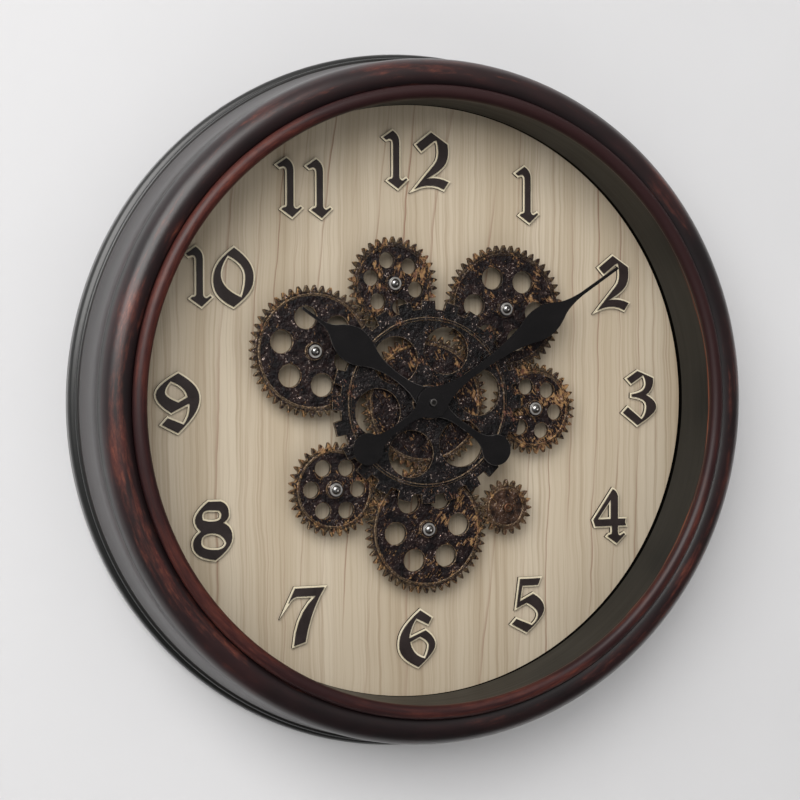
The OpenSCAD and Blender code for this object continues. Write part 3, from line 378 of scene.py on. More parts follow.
# painted shade: the side darkens to near black where it meets the half round, and loses most of its coat there
shaded = times(t, between(t, depth, *frameMasks["shadedDepth"]), onSide)
# painted sheen: the side gets a lighter grey than the paint, standing in for the bright wall it reflects
ground = blendColour(t, times(t, onSide, 0.75), ground, frameFinish["side"])
ground = blendColour(t, times(t, shaded, 0.95), ground, frameFinish["rim"])
ground = blendColour(t, between(t, radius, *frameMasks["rimRadius"]), ground, frameFinish["rim"])
warm = blendColour(t, between(t, specks, 0.45, 0.75), frameFinish["rub"], frameFinish["rubAndHighlight"])
t.links.new(blendColour(t, rubbed, ground, warm), shader.inputs["Base Color"])
t.links.new(between(t, streaks, 0.3, 0.7, 0.34, 0.48), shader.inputs["Roughness"])
coat = between(t, onSide, 0.0, 1.0, frameFinish["coatRound"], frameFinish["coatSide"])
coat = times(t, coat, between(t, shaded, 0.0, 1.0, 1.0, frameFinish["coatShaded"]))
t.links.new(coat, shader.inputs["Coat Weight"])
giveBump(t, shader, plus(t, streaks, times(t, specks, 0.4)), 0.10, 0.0006)

linerMat, t, shader = newMaterial("darkLiner", Specular_IOR_Level=0.35)
place, streaks, clouds, specks = ringPaint(t, 0.23, (14, 260, 4), (11, 30, 3), (120, 700, 4, 0.7))
turn, depth = place.outputs["Turn"], place.outputs["Depth"]
ragged = plus(t, depth, times(t, minus(t, clouds, 0.5), linerMasks["raggedReach"]))
lip = between(t, ragged, *linerMasks["lipDepth"])  # 1 on the bead, 0 on the wall, with an uneven edge between
lowSide = calc(t, "MAXIMUM", atTurn(t, turn, *linerMasks["lowTurn"]), atTurn(t, turn, *linerMasks["lowRightTurn"]))
upperLeft = atTurn(t, turn, *linerMasks["upperLeftTurn"])
upperLeft = calc(t, "MAXIMUM", upperLeft, atTurn(t, turn, *linerMasks["leftTurn"]))
redSides = calc(t, "MAXIMUM", upperLeft, times(t, lowSide, 0.6))
level = plus(t, times(t, streaks, 0.5), times(t, clouds, 0.5))
level = plus(t, level, between(t, redSides, 0.0, 1.0, -0.17, 0.05))
rubbed = times(t, between(t, level, *frameFinish["beadLevels"]), lip)
wall = blendColour(t, between(t, clouds, 0.35, 0.65), frameFinish["wallDeep"], frameFinish["wallPale"])
# painted shade: a near black line for the shadow where the liner's wall meets the dial; there it is also made fully
# rough and metallic, which takes away its shine
foot = between(t, depth, *linerMasks["footShadeDepth"])  # 0 on the black line where the wall meets the dial
wall = blendColour(t, foot, frameFinish["foot"], wall)
ground = blendColour(t, lip, wall, frameFinish["base"])
warm = blendColour(t, between(t, specks, 0.4, 0.7), frameFinish["beadRub"], frameFinish["beadBright"])
ground = blendColour(t, times(t, rubbed, 0.85), ground, warm)
# thin bright line where the bead starts, on the right and below: a painted highlight along the bead's edge
line = times(t, between(t, ragged, *linerMasks["highlightLineFrom"]), between(t, ragged, *linerMasks["highlightLineTo"]))
line = times(t, line, between(t, atTurn(t, turn, *linerMasks["highlightLineTurn"]), 0.0, 0.4, 0.0, 0.75))
t.links.new(blendColour(t, line, ground, frameFinish["rubAndHighlight"]), shader.inputs["Base Color"])
satin = between(t, streaks, 0.3, 0.7, 0.38, 0.50)
t.links.new(between(t, foot, 0.0, 1.0, 1.0, satin), shader.inputs["Roughness"])
t.links.new(between(t, foot, 0.0, 1.0, 1.0, 0.0), shader.inputs["Metallic"])
giveBump(t, shader, plus(t, streaks, times(t, specks, 0.4)), 0.08, 0.0005)


def facingY(tree):
    # how the surface faces: -1 to the front, 1 to the wall
    normal = put(tree, "ShaderNodeNewGeometry").outputs["True Normal"]
    return put(tree, "ShaderNodeSeparateXYZ", {0: normal}).outputs[1]


dialFinish = {"fibreDark": tone(126, 100, 72), "fibrePale": tone(150, 122, 92), "fibreSize": 1500.0,
              "roughFront": 0.62, "roughBack": 0.82}
dialMat, t, shader = newMaterial("paleDialWood", Specular_IOR_Level=0.25)
grain = useGroup(t, woodGrain)
fibre = useGroup(t, surfaceGrain, **{"Size": dialFinish["fibreSize"], "Base": dialFinish["fibreDark"],
                                     "Other": dialFinish["fibrePale"]})
back = between(t, facingY(t), -0.6, -0.3)  # 0 on the printed face, 1 on the bare back and in the holes
t.links.new(blendColour(t, back, grain.outputs["Colour"], fibre.outputs["Colour"]), shader.inputs["Base Color"])
t.links.new(between(t, back, 0.0, 1.0, dialFinish["roughFront"], dialFinish["roughBack"]), shader.inputs["Roughness"])
giveBump(t, shader, grain.outputs["Height"], 0.10, 0.0003)

blockFinish = {"Pale": tone(182, 150, 108), "Mid": tone(164, 130, 90), "Dark": tone(118, 86, 54),
               "Vein": tone(112, 74, 44), "Size": 1.7}
blockMat, t, shader = newMaterial("rawBlockWood", Specular_IOR_Level=0.2, Roughness=0.75)
grain = useGroup(t, woodGrain, **blockFinish)
t.links.new(grain.outputs["Colour"], shader.inputs["Base Color"])
giveBump(t, shader, grain.outputs["Height"], 0.25, 0.0004)


def grainMaterial(name, tones, size=300.0, rough=(0.35, 0.5), bump=0.08, depth=0.0002, worn=0.0,
                  edge=(0.3, 0.3, 0.3, 1), **shine):
    made, tree, shader = newMaterial(name, **shine)
    grain = useGroup(tree, surfaceGrain, **{"Size": size, "Base": tones[0], "Other": tones[1], "Rough Low": rough[0],
                                            "Rough High": rough[1], "Edge Share": worn, "Edge Tone": edge})
    tree.links.new(grain.outputs["Colour"], shader.inputs["Base Color"])
    tree.links.new(grain.outputs["Roughness"], shader.inputs["Roughness"])
    giveBump(tree, shader, grain.outputs["Height"], bump, depth)
    return made


plainFinishes = {
    # the hands' lighter edges are a painted highlight
    "blackHand": {"tones": (tone(12, 11, 12), tone(17, 15, 16)), "size": 420, "rough": (0.20, 0.27), "bump": 0.02,
                  "worn": 0.85, "edge": tone(116, 112, 109), "Specular_IOR_Level": 0.5},
    "darkNumeral": {"tones": (tone(38, 31, 30), tone(48, 39, 38)), "size": 500, "rough": (0.32, 0.46), "bump": 0.05,
                    "worn": 0.3, "edge": tone(84, 72, 68), "Specular_IOR_Level": 0.45},
    "brightScrew": {"tones": (tone(150, 148, 146), tone(178, 176, 173)), "size": 900, "rough": (0.18, 0.30),
                    "bump": 0.03, "depth": 0.0001, "Metallic": 1.0},
    "brightWasher": {"tones": (tone(206, 203, 198), tone(226, 223, 219)), "size": 900, "rough": (0.30, 0.42),
                     "bump": 0.03, "depth": 0.0001, "Metallic": 0.9},
    "zincPlate": {"tones": (tone(150, 152, 150), tone(178, 178, 172)), "size": 500, "rough": (0.28, 0.42),
                  "bump": 0.06, "depth": 0.0001, "Metallic": 1.0},
    "turnedBrass": {"tones": (tone(172, 132, 70), tone(196, 156, 90)), "size": 700, "rough": (0.25, 0.38),
                    "bump": 0.05, "depth": 0.0001, "Metallic": 1.0},
    "blackedArbor": {"tones": (tone(24, 23, 23), tone(36, 33, 31)), "size": 700, "rough": (0.3, 0.45), "bump": 0.05,
                     "Metallic": 0.5},
    "pinionShaft": {"tones": (tone(112, 78, 60), tone(138, 98, 74)), "size": 700, "rough": (0.3, 0.45), "bump": 0.05,
                    "depth": 0.0001, "Metallic": 0.9},
    "bronzePost": {"tones": (tone(38, 31, 28), tone(64, 48, 38)), "size": 500, "rough": (0.38, 0.55), "bump": 0.12,
                   "worn": 0.6, "edge": tone(120, 92, 66), "Metallic": 0.4},
    "movementBlack": {"tones": (tone(24, 24, 26), tone(31, 31, 33)), "size": 1400, "rough": (0.48, 0.60),
                      "bump": 0.16, "worn": 0.5, "edge": tone(58, 58, 60)},
    "paleKnob": {"tones": (tone(212, 209, 200), tone(222, 220, 213)), "size": 900, "rough": (0.42, 0.52),
                 "bump": 0.05},
}
finishes = {name: grainMaterial(name, **look) for name, look in plainFinishes.items()}
finishes["rawBlockWood"] = blockMat

cellFinish = {"tones": (tone(64, 72, 82), tone(74, 82, 92)), "rough": (0.22, 0.32), "size": 300.0, "metal": 0.4,
              "copper": tone(168, 118, 74), "ends": tone(182, 182, 178),
              "copperFrom": (0.0128, 0.0129), "endsFrom": (0.0234, 0.0236)}  # metres from the cell's middle


def cellMaterial(name, middleX):
    # a plain sleeve with a copper band towards one end and bare metal at both ends
    made, tree, shader = newMaterial(name, Metallic=cellFinish["metal"])
    grain = useGroup(tree, surfaceGrain, **{"Size": cellFinish["size"], "Base": cellFinish["tones"][0],
                                            "Other": cellFinish["tones"][1], "Rough Low": cellFinish["rough"][0],
                                            "Rough High": cellFinish["rough"][1]})
    coords = put(tree, "ShaderNodeSeparateXYZ", {0: objectPlace(tree)})
    along = minus(tree, coords.outputs[0], middleX)
    band = blendColour(tree, between(tree, along, *cellFinish["copperFrom"]), grain.outputs["Colour"],
                       cellFinish["copper"])
    ends = between(tree, calc(tree, "ABSOLUTE", along), *cellFinish["endsFrom"])
    tree.links.new(blendColour(tree, ends, band, cellFinish["ends"]), shader.inputs["Base Color"])
    tree.links.new(grain.outputs["Roughness"], shader.inputs["Roughness"])
    giveBump(tree, shader, grain.outputs["Height"], 0.03, 0.0002)
    return made


numeralFinish = {"Size": 500.0, "Base": tone(218, 205, 175), "Other": tone(232, 221, 195),
                 "Rough Low": 0.4, "Rough High": 0.55}
numeralSide = tone(40, 33, 29)
numeralMat, t, shader = newMaterial("creamBorder", Specular_IOR_Level=0.4)
grain = useGroup(t, surfaceGrain, **numeralFinish)
front = between(t, facingY(t), -0.35, -0.75)  # 1 where the surface looks to the front
t.links.new(blendColour(t, front, numeralSide, grain.outputs["Colour"]), shader.inputs["Base Color"])
t.links.new(grain.outputs["Roughness"], shader.inputs["Roughness"])
giveBump(t, shader, grain.outputs["Height"], 0.06, 0.0002)


def castMaterial(name, centre, values, shine=0.22):
    made, tree, shader = newMaterial(name, Specular_IOR_Level=shine)
    cast = useGroup(tree, castPaint, **{"Centre": centre, **values})
    tree.links.new(cast.outputs["Colour"], shader.inputs["Base Color"])
    tree.links.new(cast.outputs["Metal"], shader.inputs["Metallic"])
    tree.links.new(cast.outputs["Roughness"], shader.inputs["Roughness"])
    giveBump(tree, shader, cast.outputs["Height"], 1.0, 0.0016)
    return made


print("finishes made")


# piece helpers
def addObject(name, data):
    made = bpy.data.objects.new(name, data)
    bpy.context.scene.collection.objects.link(made)
    return made


def outwardMesh(name, verts, faces):
    # a mesh whose faces all look outwards
    mesh = bpy.data.meshes.new(name)
    mesh.from_pydata(verts, [], faces)
    work = bmesh.new()
    work.from_mesh(mesh)
    bmesh.ops.recalc_face_normals(work, faces=work.faces)
    work.to_mesh(mesh)
    work.free()
    return mesh


def finishPiece(name, mesh, body, material, sharp=sharpAngle):
    piece = addObject(name, mesh)
    mesh.materials.append(material)
    for face in mesh.polygons:
        face.use_smooth = True
    mesh.set_sharp_from_angle(angle=math.radians(sharp))
    evenShade = piece.modifiers.new("evenShade", "WEIGHTED_NORMAL")  # keeps flat faces flat beside rounded edges
    evenShade.keep_sharp = True
    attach(piece, body)
    return piece


# rounding of CAD shapes: points nearer than joinGap (mm) are one, faces within flatAngle (degrees) are one,
# and edges sharper than edgeAngle are rounded
rounding = {"joinGap": 0.004, "flatAngle": 0.6, "edgeAngle": 40}


def roundedCopy(nodeName, pieceName, body, material, width, steps=2):
    # the CAD node's own shape with its sharp edges rounded; the new faces carry edgeRub = 1
    work = bmesh.new()
    work.from_mesh(nodes[nodeName].data)
    bmesh.ops.remove_doubles(work, verts=work.verts, dist=rounding["joinGap"] * mm)
    bmesh.ops.dissolve_limit(work, angle_limit=math.radians(rounding["flatAngle"]),
                             verts=work.verts, edges=work.edges)
    rub = work.faces.layers.float.new("edgeRub")
    sharp = [e for e in work.edges if e.is_manifold and e.calc_face_angle(0.0) > math.radians(rounding["edgeAngle"])]
    made = bmesh.ops.bevel(work, geom=sharp, offset=width * mm, segments=steps, profile=0.5,
                           affect="EDGES", clamp_overlap=True)
    for face in made["faces"]:
        face[rub] = 1.0
    mesh = bpy.data.meshes.new(pieceName)
    work.to_mesh(mesh)
    work.free()
    piece = finishPiece(pieceName, mesh, body, material)
    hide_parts(nodeName)
    return piece


def lathe(name, profile, steps, body, material, centre=(axisX, axisZ)):
    # turns a closed line of (radius, depth in front of the dial) points, in mm, round an axis along y
    verts, faces = [], []
    count = len(profile)
    for i in range(steps):
        turned = 2 * math.pi * i / steps
        c, s = math.cos(turned), math.sin(turned)
        verts += [(centre[0] + r * mm * c, dialY - d * mm, centre[1] + r * mm * s) for r, d in profile]
    for i in range(steps):
        j = (i + 1) % steps
        for k in range(count):
            n = (k + 1) % count
            faces.append((i * count + k, i * count + n, j * count + n, j * count + k))
    return finishPiece(name, outwardMesh(name, verts, faces), body, material)


def arcPoints(centre, radius, start, end, steps):
    # degrees, from the outward radius towards the front
    angles = [math.radians(start + (end - start) * i / steps) for i in range(steps + 1)]
    return [(centre[0] + radius * math.cos(a), centre[1] + radius * math.sin(a)) for a in angles]


def shifted(foot, offsets):
    return [(foot[0] + r, foot[1] + d) for r, d in offsets]


def degreesTo(start, end):
    return math.degrees(math.atan2(end[1] - start[1], end[0] - start[0]))


# the frame's own ring and the liner inside it; points are (radius, depth in front of the dial) in mm
ringSteps = 384
moulding = {
    "bead": (231.1, 56.0), "beadSize": 5.3, "beadGap": 0.2, "beadSeat": -86, "round": (244.07, 43.445),
    "roundSize": 13.5, "roundSteps": 40, "sideTop": (257.57, 38.05), "neckRise": 1.5, "sideFoot": (263.4, -0.9),
    "coveSag": 3.3, "coveSteps": 26, "footCut": [(0, -0.6), (-0.1, -1.6)],
    "footBead": (0.9, -3.2), "footBeadSize": 1.7, "footBeadArc": (110, -40),
    "step": (263.4, -7.4), "stepCut": [(2.0, -0.5), (2.3, -0.7)],
    "rim": 270.0, "rimTop": -12.9, "rimRound": 4.4, "rimArc": (78, 0), "back": -20.0, "backEdge": 0.5,
    "rimInside": 257.3, "insideEdge": 0.4, "shelf": 3.0, "hollow": [(254.0, 3.0), (253.8, 41.445)],
    "wall": 3.0, "wallArc": (-10, 150), "linerSlot": [(234.5, 40.0), (234.5, 2.4), (231.5, 2.4)],
}
gapSize = moulding["beadSize"] + moulding["beadGap"]
roundSize = moulding["roundSize"]
apart = math.dist(moulding["round"], moulding["bead"])
opening = math.degrees(math.acos((roundSize ** 2 + apart ** 2 - gapSize ** 2) / (2 * roundSize * apart)))
# where the half round leaves the bead's groove
grooveStart = degreesTo(moulding["round"], moulding["bead"]) - opening
topR, topD = moulding["sideTop"]
footR, footD = moulding["sideFoot"]
sideLong = math.dist(moulding["sideTop"], moulding["sideFoot"])
sag = moulding["coveSag"]
coveSize = sideLong ** 2 / (8 * sag) + sag / 2  # radius of the hollow side
outR, outD = -(footD - topD) / sideLong, (footR - topR) / sideLong
coveCentre = ((topR + footR) / 2 + outR * (coveSize - sag), (topD + footD) / 2 + outD * (coveSize - sag))
coveStart, coveEnd = (degreesTo(coveCentre, moulding[key]) % 360 for key in ("sideTop", "sideFoot"))

ringProfile = arcPoints(moulding["round"], roundSize, grooveStart, 0, moulding["roundSteps"])
ringProfile += [(topR, topD + moulding["neckRise"])]
ringProfile += arcPoints(coveCentre, coveSize, coveStart, coveEnd, moulding["coveSteps"])
ringProfile += shifted(moulding["sideFoot"], moulding["footCut"])
footBead = shifted(moulding["sideFoot"], [moulding["footBead"]])[0]  # small bead under the cove
ringProfile += arcPoints(footBead, moulding["footBeadSize"], *moulding["footBeadArc"], 9)
ringProfile += shifted(moulding["step"], moulding["stepCut"])
rimMiddle = (moulding["rim"] - moulding["rimRound"], moulding["rimTop"])
ringProfile += arcPoints(rimMiddle, moulding["rimRound"], *moulding["rimArc"], 10)  # rounded base rim
ringProfile += [(moulding["rim"], moulding["back"] + moulding["backEdge"]),
                (moulding["rim"] - moulding["backEdge"], moulding["back"]),
                (moulding["rimInside"] + moulding["insideEdge"], moulding["back"]),
                (moulding["rimInside"], moulding["back"] + moulding["insideEdge"]),
                (moulding["rimInside"], moulding["shelf"]), *moulding["hollow"]]
ringProfile += arcPoints(moulding["round"], roundSize - moulding["wall"], *moulding["wallArc"], 12)
ringProfile += moulding["linerSlot"] + [(moulding["linerSlot"][-1][0], moulding["bead"][1] - gapSize)]
gapEnd = degreesTo(moulding["bead"], ringProfile[0])
ringProfile += arcPoints(moulding["bead"], gapSize, moulding["beadSeat"], gapEnd, 8)[:-1]
frameRing = lathe("frameRing", ringProfile, ringSteps, "case", frameMat)
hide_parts("case_ring")

# the liner starts with a small recess beside the dial
linerShape = {
    "foot": [(229.7, 0.0), (229.7, 3.2), (229.4, 3.7), (228.5, 4.2), (228.5, 25.0)],
    "wallInset": 2.6, "beadEnd": -448, "beadSteps": 44, "flange": [(231.3, 2.2), (240.0, 2.2), (240.0, 0.0)],
}
beadStart = -90 - math.degrees(math.asin(linerShape["wallInset"] / moulding["beadSize"]))
linerProfile = linerShape["foot"] + arcPoints(moulding["bead"], moulding["beadSize"], beadStart,
                                              linerShape["beadEnd"], linerShape["beadSteps"]) + linerShape["flange"]
linerRing = lathe("linerRing", linerProfile, ringSteps, "case", linerMat)
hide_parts("inner_liner")
print("frame and liner turned")

# the dial keeps its CAD node
dial = nodes["dial_board"]
dial.data.materials.clear()
dial.data.materials.append(dialMat)

# numerals, with a cream border and a dark face
roundedCopy("numeral_backings", "numeralBorders", "case", numeralMat, 0.12)
roundedCopy("numeral_faces", "numeralFaces", "case", finishes["darkNumeral"], 0.15)
print("numerals made")

# gears and cover plate: teeth, share of strokes on the face and on the teeth, and the strokes' turn in radians
castEdge = {"width": 0.45, "steps": 3}
gearModule, rootDrop = 2.0, 1.25  # mm, and the root's depth below the pitch circle in modules
gearTrain = {
    "centre_gear": {"piece": "centreGear", "body": "centre", "teeth": 50, "face": 0.52, "tooth": 0.58, "turn": 0.5},
    "left_gear": {"piece": "leftGear", "body": "left", "teeth": 48, "face": 0.36, "tooth": 0.50, "turn": 0.1},
    "top_gear": {"piece": "topGear", "body": "top", "teeth": 34, "face": 0.62, "tooth": 0.66, "turn": -0.2},
    "upper_right_gear": {"piece": "upperRightGear", "body": "upper_right", "teeth": 48, "face": 0.48, "tooth": 0.54,
                         "turn": 0.9},
    "right_gear": {"piece": "rightGear", "body": "right", "teeth": 34, "face": 0.64, "tooth": 0.68, "turn": 0.6},
    "lower_gear": {"piece": "lowerGear", "body": "lower", "teeth": 48, "face": 0.50, "tooth": 0.54, "turn": -0.6},
    "lower_left_gear": {"piece": "lowerLeftGear", "body": "lower_left", "teeth": 34, "face": 0.46, "tooth": 0.68,
                        "turn": 0.4},
    "drive_pinion": {"piece": "drivePinion", "body": "pinion", "teeth": 20, "face": 0.46, "tooth": 0.50, "turn": 0.3,
                     "paint": {"Dark": tone(30, 21, 18), "Warm": tone(80, 57, 43)}},
}
for nodeName, part in gearTrain.items():
    low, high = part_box(nodeName)
    middle = ((low[0] + high[0]) / 2, dialY, (low[2] + high[2]) / 2)
    paint = {"Root": (part["teeth"] / 2 - rootDrop) * gearModule * mm, "Face Strokes": part["face"],
             "Tooth Strokes": part["tooth"], "Stroke Turn": part["turn"], **part.get("paint", {})}
    cast = castMaterial(part["piece"] + "Cast", middle, paint)
    roundedCopy(nodeName, part["piece"], part["body"], cast, castEdge["width"], castEdge["steps"])
platePaint = {"Root": 0.09, "Face Strokes": 0.36, "Tooth Strokes": 0.36, "Stroke Turn": 0.4, "Stroke Size": 1.7,
              "Dark": tone(11, 10, 11), "Warm": tone(27, 21, 22), "Gold": tone(150, 112, 80),
              "Copper": tone(100, 64, 62)}
plateCast = castMaterial("coverPlateCast", (axisX, dialY, axisZ), platePaint, 0.25)
roundedCopy("cover_plate", "coverPlate", "case", plateCast, castEdge["width"], castEdge["steps"])

# boss round the end of the motor's shaft, on the pinion's face; the points count from just inside that face
bossShape = {"sunk": 0.1, "steps": 64, "line": [(2.3, 0), (2.3, 0.7), (2.5, 0.95), (3.0, 0.95), (3.4, 0.7), (3.6, 0)]}
low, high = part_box("drive_pinion")
bossFoot = (dialY - low[1]) / mm - bossShape["sunk"]
boss = lathe("pinionBoss", shifted((0, bossFoot), bossShape["line"]), bossShape["steps"], "pinion",
             finishes["pinionShaft"], ((low[0] + high[0]) / 2, (low[2] + high[2]) / 2))
print("gear train made")

# small pieces: name, body, finish and width of the rounded edges in mm
motorLow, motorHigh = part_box("motor_battery")
finishes["movementSleeve"] = cellMaterial("movementSleeve", 0.0)
finishes["motorSleeve"] = cellMaterial("motorSleeve", (motorLow[0] + motorHigh[0]) / 2)
smallPieces = {
    "gear_posts": ("gearPosts", "case", "bronzePost", 0.2),
    "post_nuts": ("postNuts", "case", "zincPlate", 0.2),
    "gear_washers": ("gearWashers", "case", "brightWasher", 0.1),
    "gear_screws": ("gearScrews", "case", "brightScrew", 0.12),
    "motor_shaft": ("motorShaft", "pinion", "pinionShaft", 0.2),
    "centre_sleeve": ("centreSleeve", "case", "bronzePost", 0.2),
    "bushing_nut": ("bushingNut", "case", "turnedBrass", 0.2),
    "hour_tube": ("hourTube", "hour", "turnedBrass", 0.1),
    "minute_arbor": ("minuteArbor", "minute", "blackedArbor", 0.15),
    "hour_hand": ("hourHand", "hour", "blackHand", 0.45),
    "minute_hand": ("minuteHand", "minute", "blackHand", 0.45),
    "hand_nut": ("handNut", "minute", "blackHand", 0.3),
    "hanger_plate": ("hangerPlate", "case", "zincPlate", 0.15),
    "hanger_screws": ("hangerScrews", "case", "zincPlate", 0.08),
    "hanger_block": ("hangerBlock", "case", "rawBlockWood", 0.5),
    "dial_screws": ("dialScrews", "case", "zincPlate", 0.2),
    "movement_case": ("movementCase", "case", "movementBlack", 0.3),
    "movement_contacts": ("movementContacts", "case", "zincPlate", 0.1),
    "movement_battery": ("movementCell", "case", "movementSleeve", 0.4),
    "setting_knob": ("settingKnob", "knob", "paleKnob", 0.2),
    "motor_case": ("motorCase", "case", "movementBlack", 0.3),
    "motor_contacts": ("motorContacts", "case", "zincPlate", 0.1),
    "motor_battery": ("motorCell", "case", "motorSleeve", 0.4),
    "motor_screws": ("motorScrews", "case", "zincPlate", 0.2),
    "power_switch": ("powerSwitch", "switch", "paleKnob", 0.2),
}
for nodeName, (pieceName, body, finish, width) in smallPieces.items():
    roundedCopy(nodeName, pieceName, body, finishes[finish], width)


def islandBoxes(mesh):
    # bounding boxes of the separate parts of a mesh
    work = bmesh.new()
    work.from_mesh(mesh)
    left, boxes = set(work.verts), []
    while left:
        found = [left.pop()]
        for vert in found:
            for edge in vert.link_edges:
                other = edge.other_vert(vert)
                if other in left:
                    left.discard(other)
                    found.append(other)
        low = [min(v.co[i] for v in found) for i in range(3)]
        boxes.append((low, [max(v.co[i] for v in found) for i in range(3)]))
    work.free()
    return sorted(boxes)


# cross recesses in the screw heads at the back, in mm; floorShare is how much smaller the cross is at its floor
crossShapes = {"dialScrews": {"reach": 1.9, "width": 0.85, "depth": 1.1},
               "motorScrews": {"reach": 1.7, "width": 0.8, "depth": 1.0},
               "hangerScrews": {"reach": 1.8, "width": 0.8, "depth": 1.1}}
crossRise, crossFloorShare = 0.3, 0.62


def crossRecess(piece, reach, width, depth):
    # cuts a tapered cross into the back of each screw head
    verts, faces = [], []
    for low, high in islandBoxes(piece.data):
        cx, cz, start = (low[0] + high[0]) / 2, (low[2] + high[2]) / 2, len(verts)
        for y, share in ((high[1] + crossRise * mm, 1.0), (high[1] - depth * mm, crossFloorShare)):
            for quarter in range(4):
                c, s = round(math.cos(quarter * math.pi / 2)), round(math.sin(quarter * math.pi / 2))
                for a, b in ((width / 2, -width / 2), (reach * share, -width / 2), (reach * share, width / 2)):
                    verts.append((cx + (a * c - b * s) * mm, y, cz + (a * s + b * c) * mm))
        faces.append(tuple(range(start, start + 12)))
        faces.append(tuple(range(start + 23, start + 11, -1)))
        faces += [(start + k, start + 12 + k, start + 12 + (k + 1) % 12, start + (k + 1) % 12) for k in range(12)]
    cutter = addObject("cutter", outwardMesh("cutter", verts, faces))
    whole = addObject("whole", piece.data.copy())
    cut = whole.modifiers.new("cut", "BOOLEAN")
    cut.operation, cut.solver, cut.object = "DIFFERENCE", "EXACT", cutter
    made = bpy.data.meshes.new_from_object(whole.evaluated_get(bpy.context.evaluated_depsgraph_get()))
    for item in (cutter, whole):
        bpy.data.objects.remove(item)
    made.set_sharp_from_angle(angle=math.radians(sharpAngle))
    piece.data = made


for pieceName, shape in crossShapes.items():
    crossRecess(bpy.data.objects[pieceName], **shape)

# low rounded bars on the backs of both cases, in mm: ends along x, and the places of the bars along z
ribSets = {"movementRibs": {"ends": (-20.0, 20.0), "places": (-238.6, -236.4, -234.2)},
           "motorRibs": {"ends": (46.0, 86.0), "places": (-316.4, -314.2, -312.0)}}
ribShape = {"foot": -1.02, "section": [(-0.5, 0), (-0.42, 0.28), (-0.2, 0.4), (0.2, 0.4), (0.42, 0.28), (0.5, 0)],
            "endLong": 0.4, "endShare": 0.6, "sharp": 50}
for name, rib in ribSets.items():
    verts, faces, count = [], [], len(ribShape["section"])
    lowX, highX = rib["ends"]
    stations = [(lowX, ribShape["endShare"]), (lowX + ribShape["endLong"], 1.0),
                (highX - ribShape["endLong"], 1.0), (highX, ribShape["endShare"])]
    for z in rib["places"]:
        start = len(verts)
        for x, share in stations:
            verts += [(x * mm, (ribShape["foot"] + y * share) * mm, (z + w * share) * mm)
                      for w, y in ribShape["section"]]
        for k in range(len(stations) - 1):
            near, far = start + k * count, start + (k + 1) * count
            faces += [(near + i, near + (i + 1) % count, far + (i + 1) % count, far + i) for i in range(count)]
        faces += [tuple(range(start, start + count)), tuple(range(far + count - 1, far - 1, -1))]
    ribs = finishPiece(name, outwardMesh(name, verts, faces), "case", finishes["movementBlack"], ribShape["sharp"])

# low collar round the setting knob; points are (radius, depth in front of the dial) in mm
collarShape = {"steps": 72, "line": [(8.9, -18.98), (9.0, -19.3), (9.3, -19.42), (9.8, -19.42), (10.1, -19.3),
                                     (10.2, -18.98)]}
low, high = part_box("setting_knob")
collar = lathe("knobCollar", collarShape["line"], collarShape["steps"], "case", finishes["movementBlack"],
               ((low[0] + high[0]) / 2, (low[2] + high[2]) / 2))
print("small pieces made")

# stage: a pale wall behind the clock and a pale floor far below; both are clear from behind and cast no shadow
stageSet = {"wallGap": 0.0004, "floorDrop": 1.7, "size": 3.2, "roughness": 0.85, "cloudScale": 2.6,
            "bumpScale": 90.0, "bump": 0.06,
            "wall": (tone(215, 215, 217), tone(218, 218, 220)), "floor": (tone(214, 213, 211), tone(220, 219, 217))}


def stageMaterial(name, tones):
    made, tree, shader = newMaterial(name, Specular_IOR_Level=0.0, Roughness=stageSet["roughness"])
    coords = objectPlace(tree)
    cloud = noise(tree, coords, stageSet["cloudScale"], 4, 0.6)
    tree.links.new(blendColour(tree, between(tree, cloud, 0.35, 0.65), *tones), shader.inputs["Base Color"])
    giveBump(tree, shader, noise(tree, coords, stageSet["bumpScale"], 5, 0.6), stageSet["bump"], 0.001)
    clear = put(tree, "ShaderNodeBsdfTransparent").outputs[0]
    behind = put(tree, "ShaderNodeNewGeometry").outputs["Backfacing"]
    shadowRay = put(tree, "ShaderNodeLightPath").outputs["Is Shadow Ray"]
    either = calc(tree, "MAXIMUM", behind, shadowRay)
    mixed = put(tree, "ShaderNodeMixShader", {0: either, 1: shader.outputs[0], 2: clear}).outputs[0]
    out = next(n for n in tree.nodes if n.type == "OUTPUT_MATERIAL")
    tree.links.new(mixed, out.inputs[0])
    return made


def stagePlane(name, corners, material):
    mesh = bpy.data.meshes.new(name)
    mesh.from_pydata(corners, [], [(0, 1, 2, 3)])
    mesh.materials.append(material)
    plane = addObject(name, mesh)
    return plane


s, wallY, floorZ = stageSet["size"], stageSet["wallGap"], axisZ - stageSet["floorDrop"]
stagePlane("wall", [(-s, wallY, floorZ), (s, wallY, floorZ), (s, wallY, s), (-s, wallY, s)],
           stageMaterial("paleWall", stageSet["wall"]))
floor = stagePlane("floor", [(-s, -s, floorZ), (s, -s, floorZ), (s, wallY, floorZ), (-s, wallY, floorZ)],
                   stageMaterial("paleFloor", stageSet["floor"]))
floor.visible_glossy = False  # keeps its reflection out of the polished frame, as in the photograph

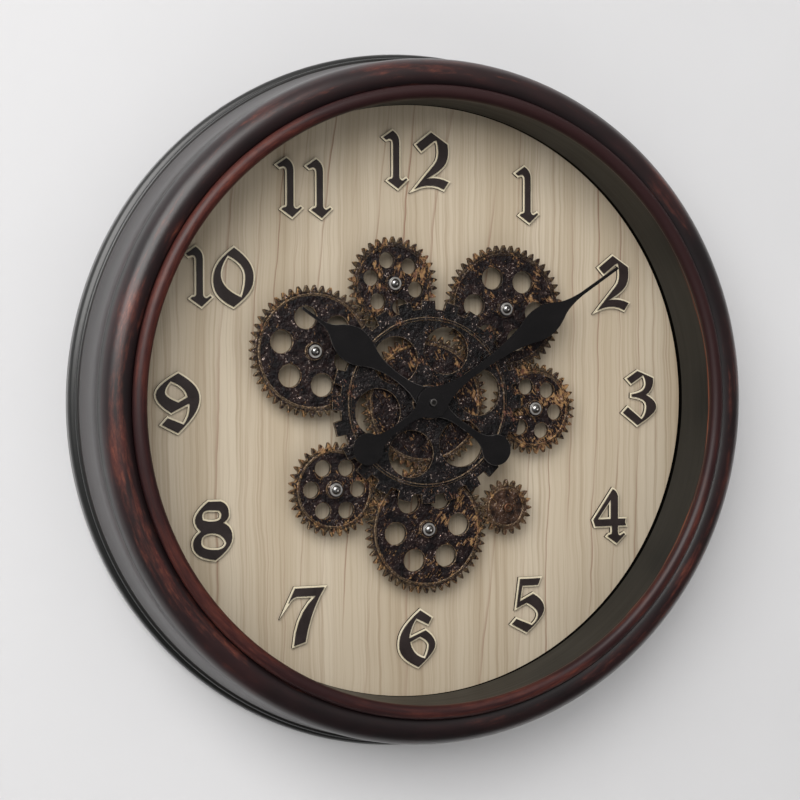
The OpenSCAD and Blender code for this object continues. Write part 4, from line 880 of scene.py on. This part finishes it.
# soft lights, all aimed at the dial's middle: place and size in metres, power in watts
lights = {
    "keySoft": {"place": (-1.40, -2.10, 1.12), "size": (2.5, 2.1), "power": 88, "colour": (1.0, 0.985, 0.965)},
    "fillSoft": {"place": (1.7, -2.5, 0.1), "size": (2.4, 2.4), "power": 12, "colour": (1.0, 0.985, 0.97),
                 "glossy": False},
    "backSoft": {"place": (0.5, 2.2, 0.7), "size": (1.6, 1.6), "power": 58, "colour": (1.0, 0.99, 0.98)},
}
heart = Vector((axisX, dialY, axisZ))
for name, light in lights.items():
    data = bpy.data.lights.new(name, "AREA")
    data.shape = "RECTANGLE"
    data.size, data.size_y = light["size"]
    data.energy, data.color = light["power"], light["colour"]
    lamp = addObject(name, data)
    lamp.location = light["place"]
    lamp.rotation_euler = (heart - Vector(light["place"])).to_track_quat("-Z", "Y").to_euler()
    lamp.visible_glossy = light.get("glossy", True)

# the room: a little brighter on the left, above and behind, darker below
room = {"left": 0.26, "up": 0.22, "rear": 0.25, "base": 0.13, "lowShare": 0.35, "seen": 0.6,
        "warmTone": (1.0, 0.985, 0.97, 1.0), "coolTone": (0.93, 0.97, 1.0, 1.0)}
world = bpy.data.worlds.new("room")
bpy.context.scene.world = world
world.use_nodes = True
t = world.node_tree
way = put(t, "ShaderNodeSeparateXYZ", {0: put(t, "ShaderNodeTexCoord").outputs["Generated"]})
leftward = between(t, way.outputs[0], 0.4, -0.9)
upward = between(t, way.outputs[2], -0.1, 0.9)
rear = between(t, way.outputs[1], 0.1, 0.8)
glow = plus(t, times(t, leftward, room["left"]), times(t, upward, room["up"]))
glow = plus(t, plus(t, glow, times(t, rear, room["rear"])), room["base"])
glow = times(t, glow, between(t, way.outputs[2], -0.7, 0.0, room["lowShare"], 1.0))
seen = put(t, "ShaderNodeLightPath").outputs["Is Camera Ray"]
glow = between(t, seen, 0.0, 1.0, glow, room["seen"])  # an even pale ground in views from behind
t.links.new(blendColour(t, leftward, room["warmTone"], room["coolTone"]), t.nodes["Background"].inputs[0])
t.links.new(glow, t.nodes["Background"].inputs[1])

# camera, from the photograph's own perspective: place and aim in metres, roll in degrees
view = {"place": (-0.4722, -1.2313, -0.1976), "aim": (-0.0161, -0.020, -0.23065), "lens": 75.3, "sensor": 36.0,
        "roll": -0.085}
cameraData = bpy.data.cameras.new("photoView")
cameraData.lens, cameraData.sensor_width = view["lens"], view["sensor"]
camera = addObject("photoView", cameraData)
look = (Vector(view["aim"]) - Vector(view["place"])).to_track_quat("-Z", "Y").to_matrix().to_4x4()
camera.matrix_world = Matrix.Translation(view["place"]) @ look @ Matrix.Rotation(math.radians(view["roll"]), 4, "Z")
bpy.context.scene.camera = camera
bpy.context.scene.view_settings.view_transform = "Standard"
print("stage, lights and camera set")
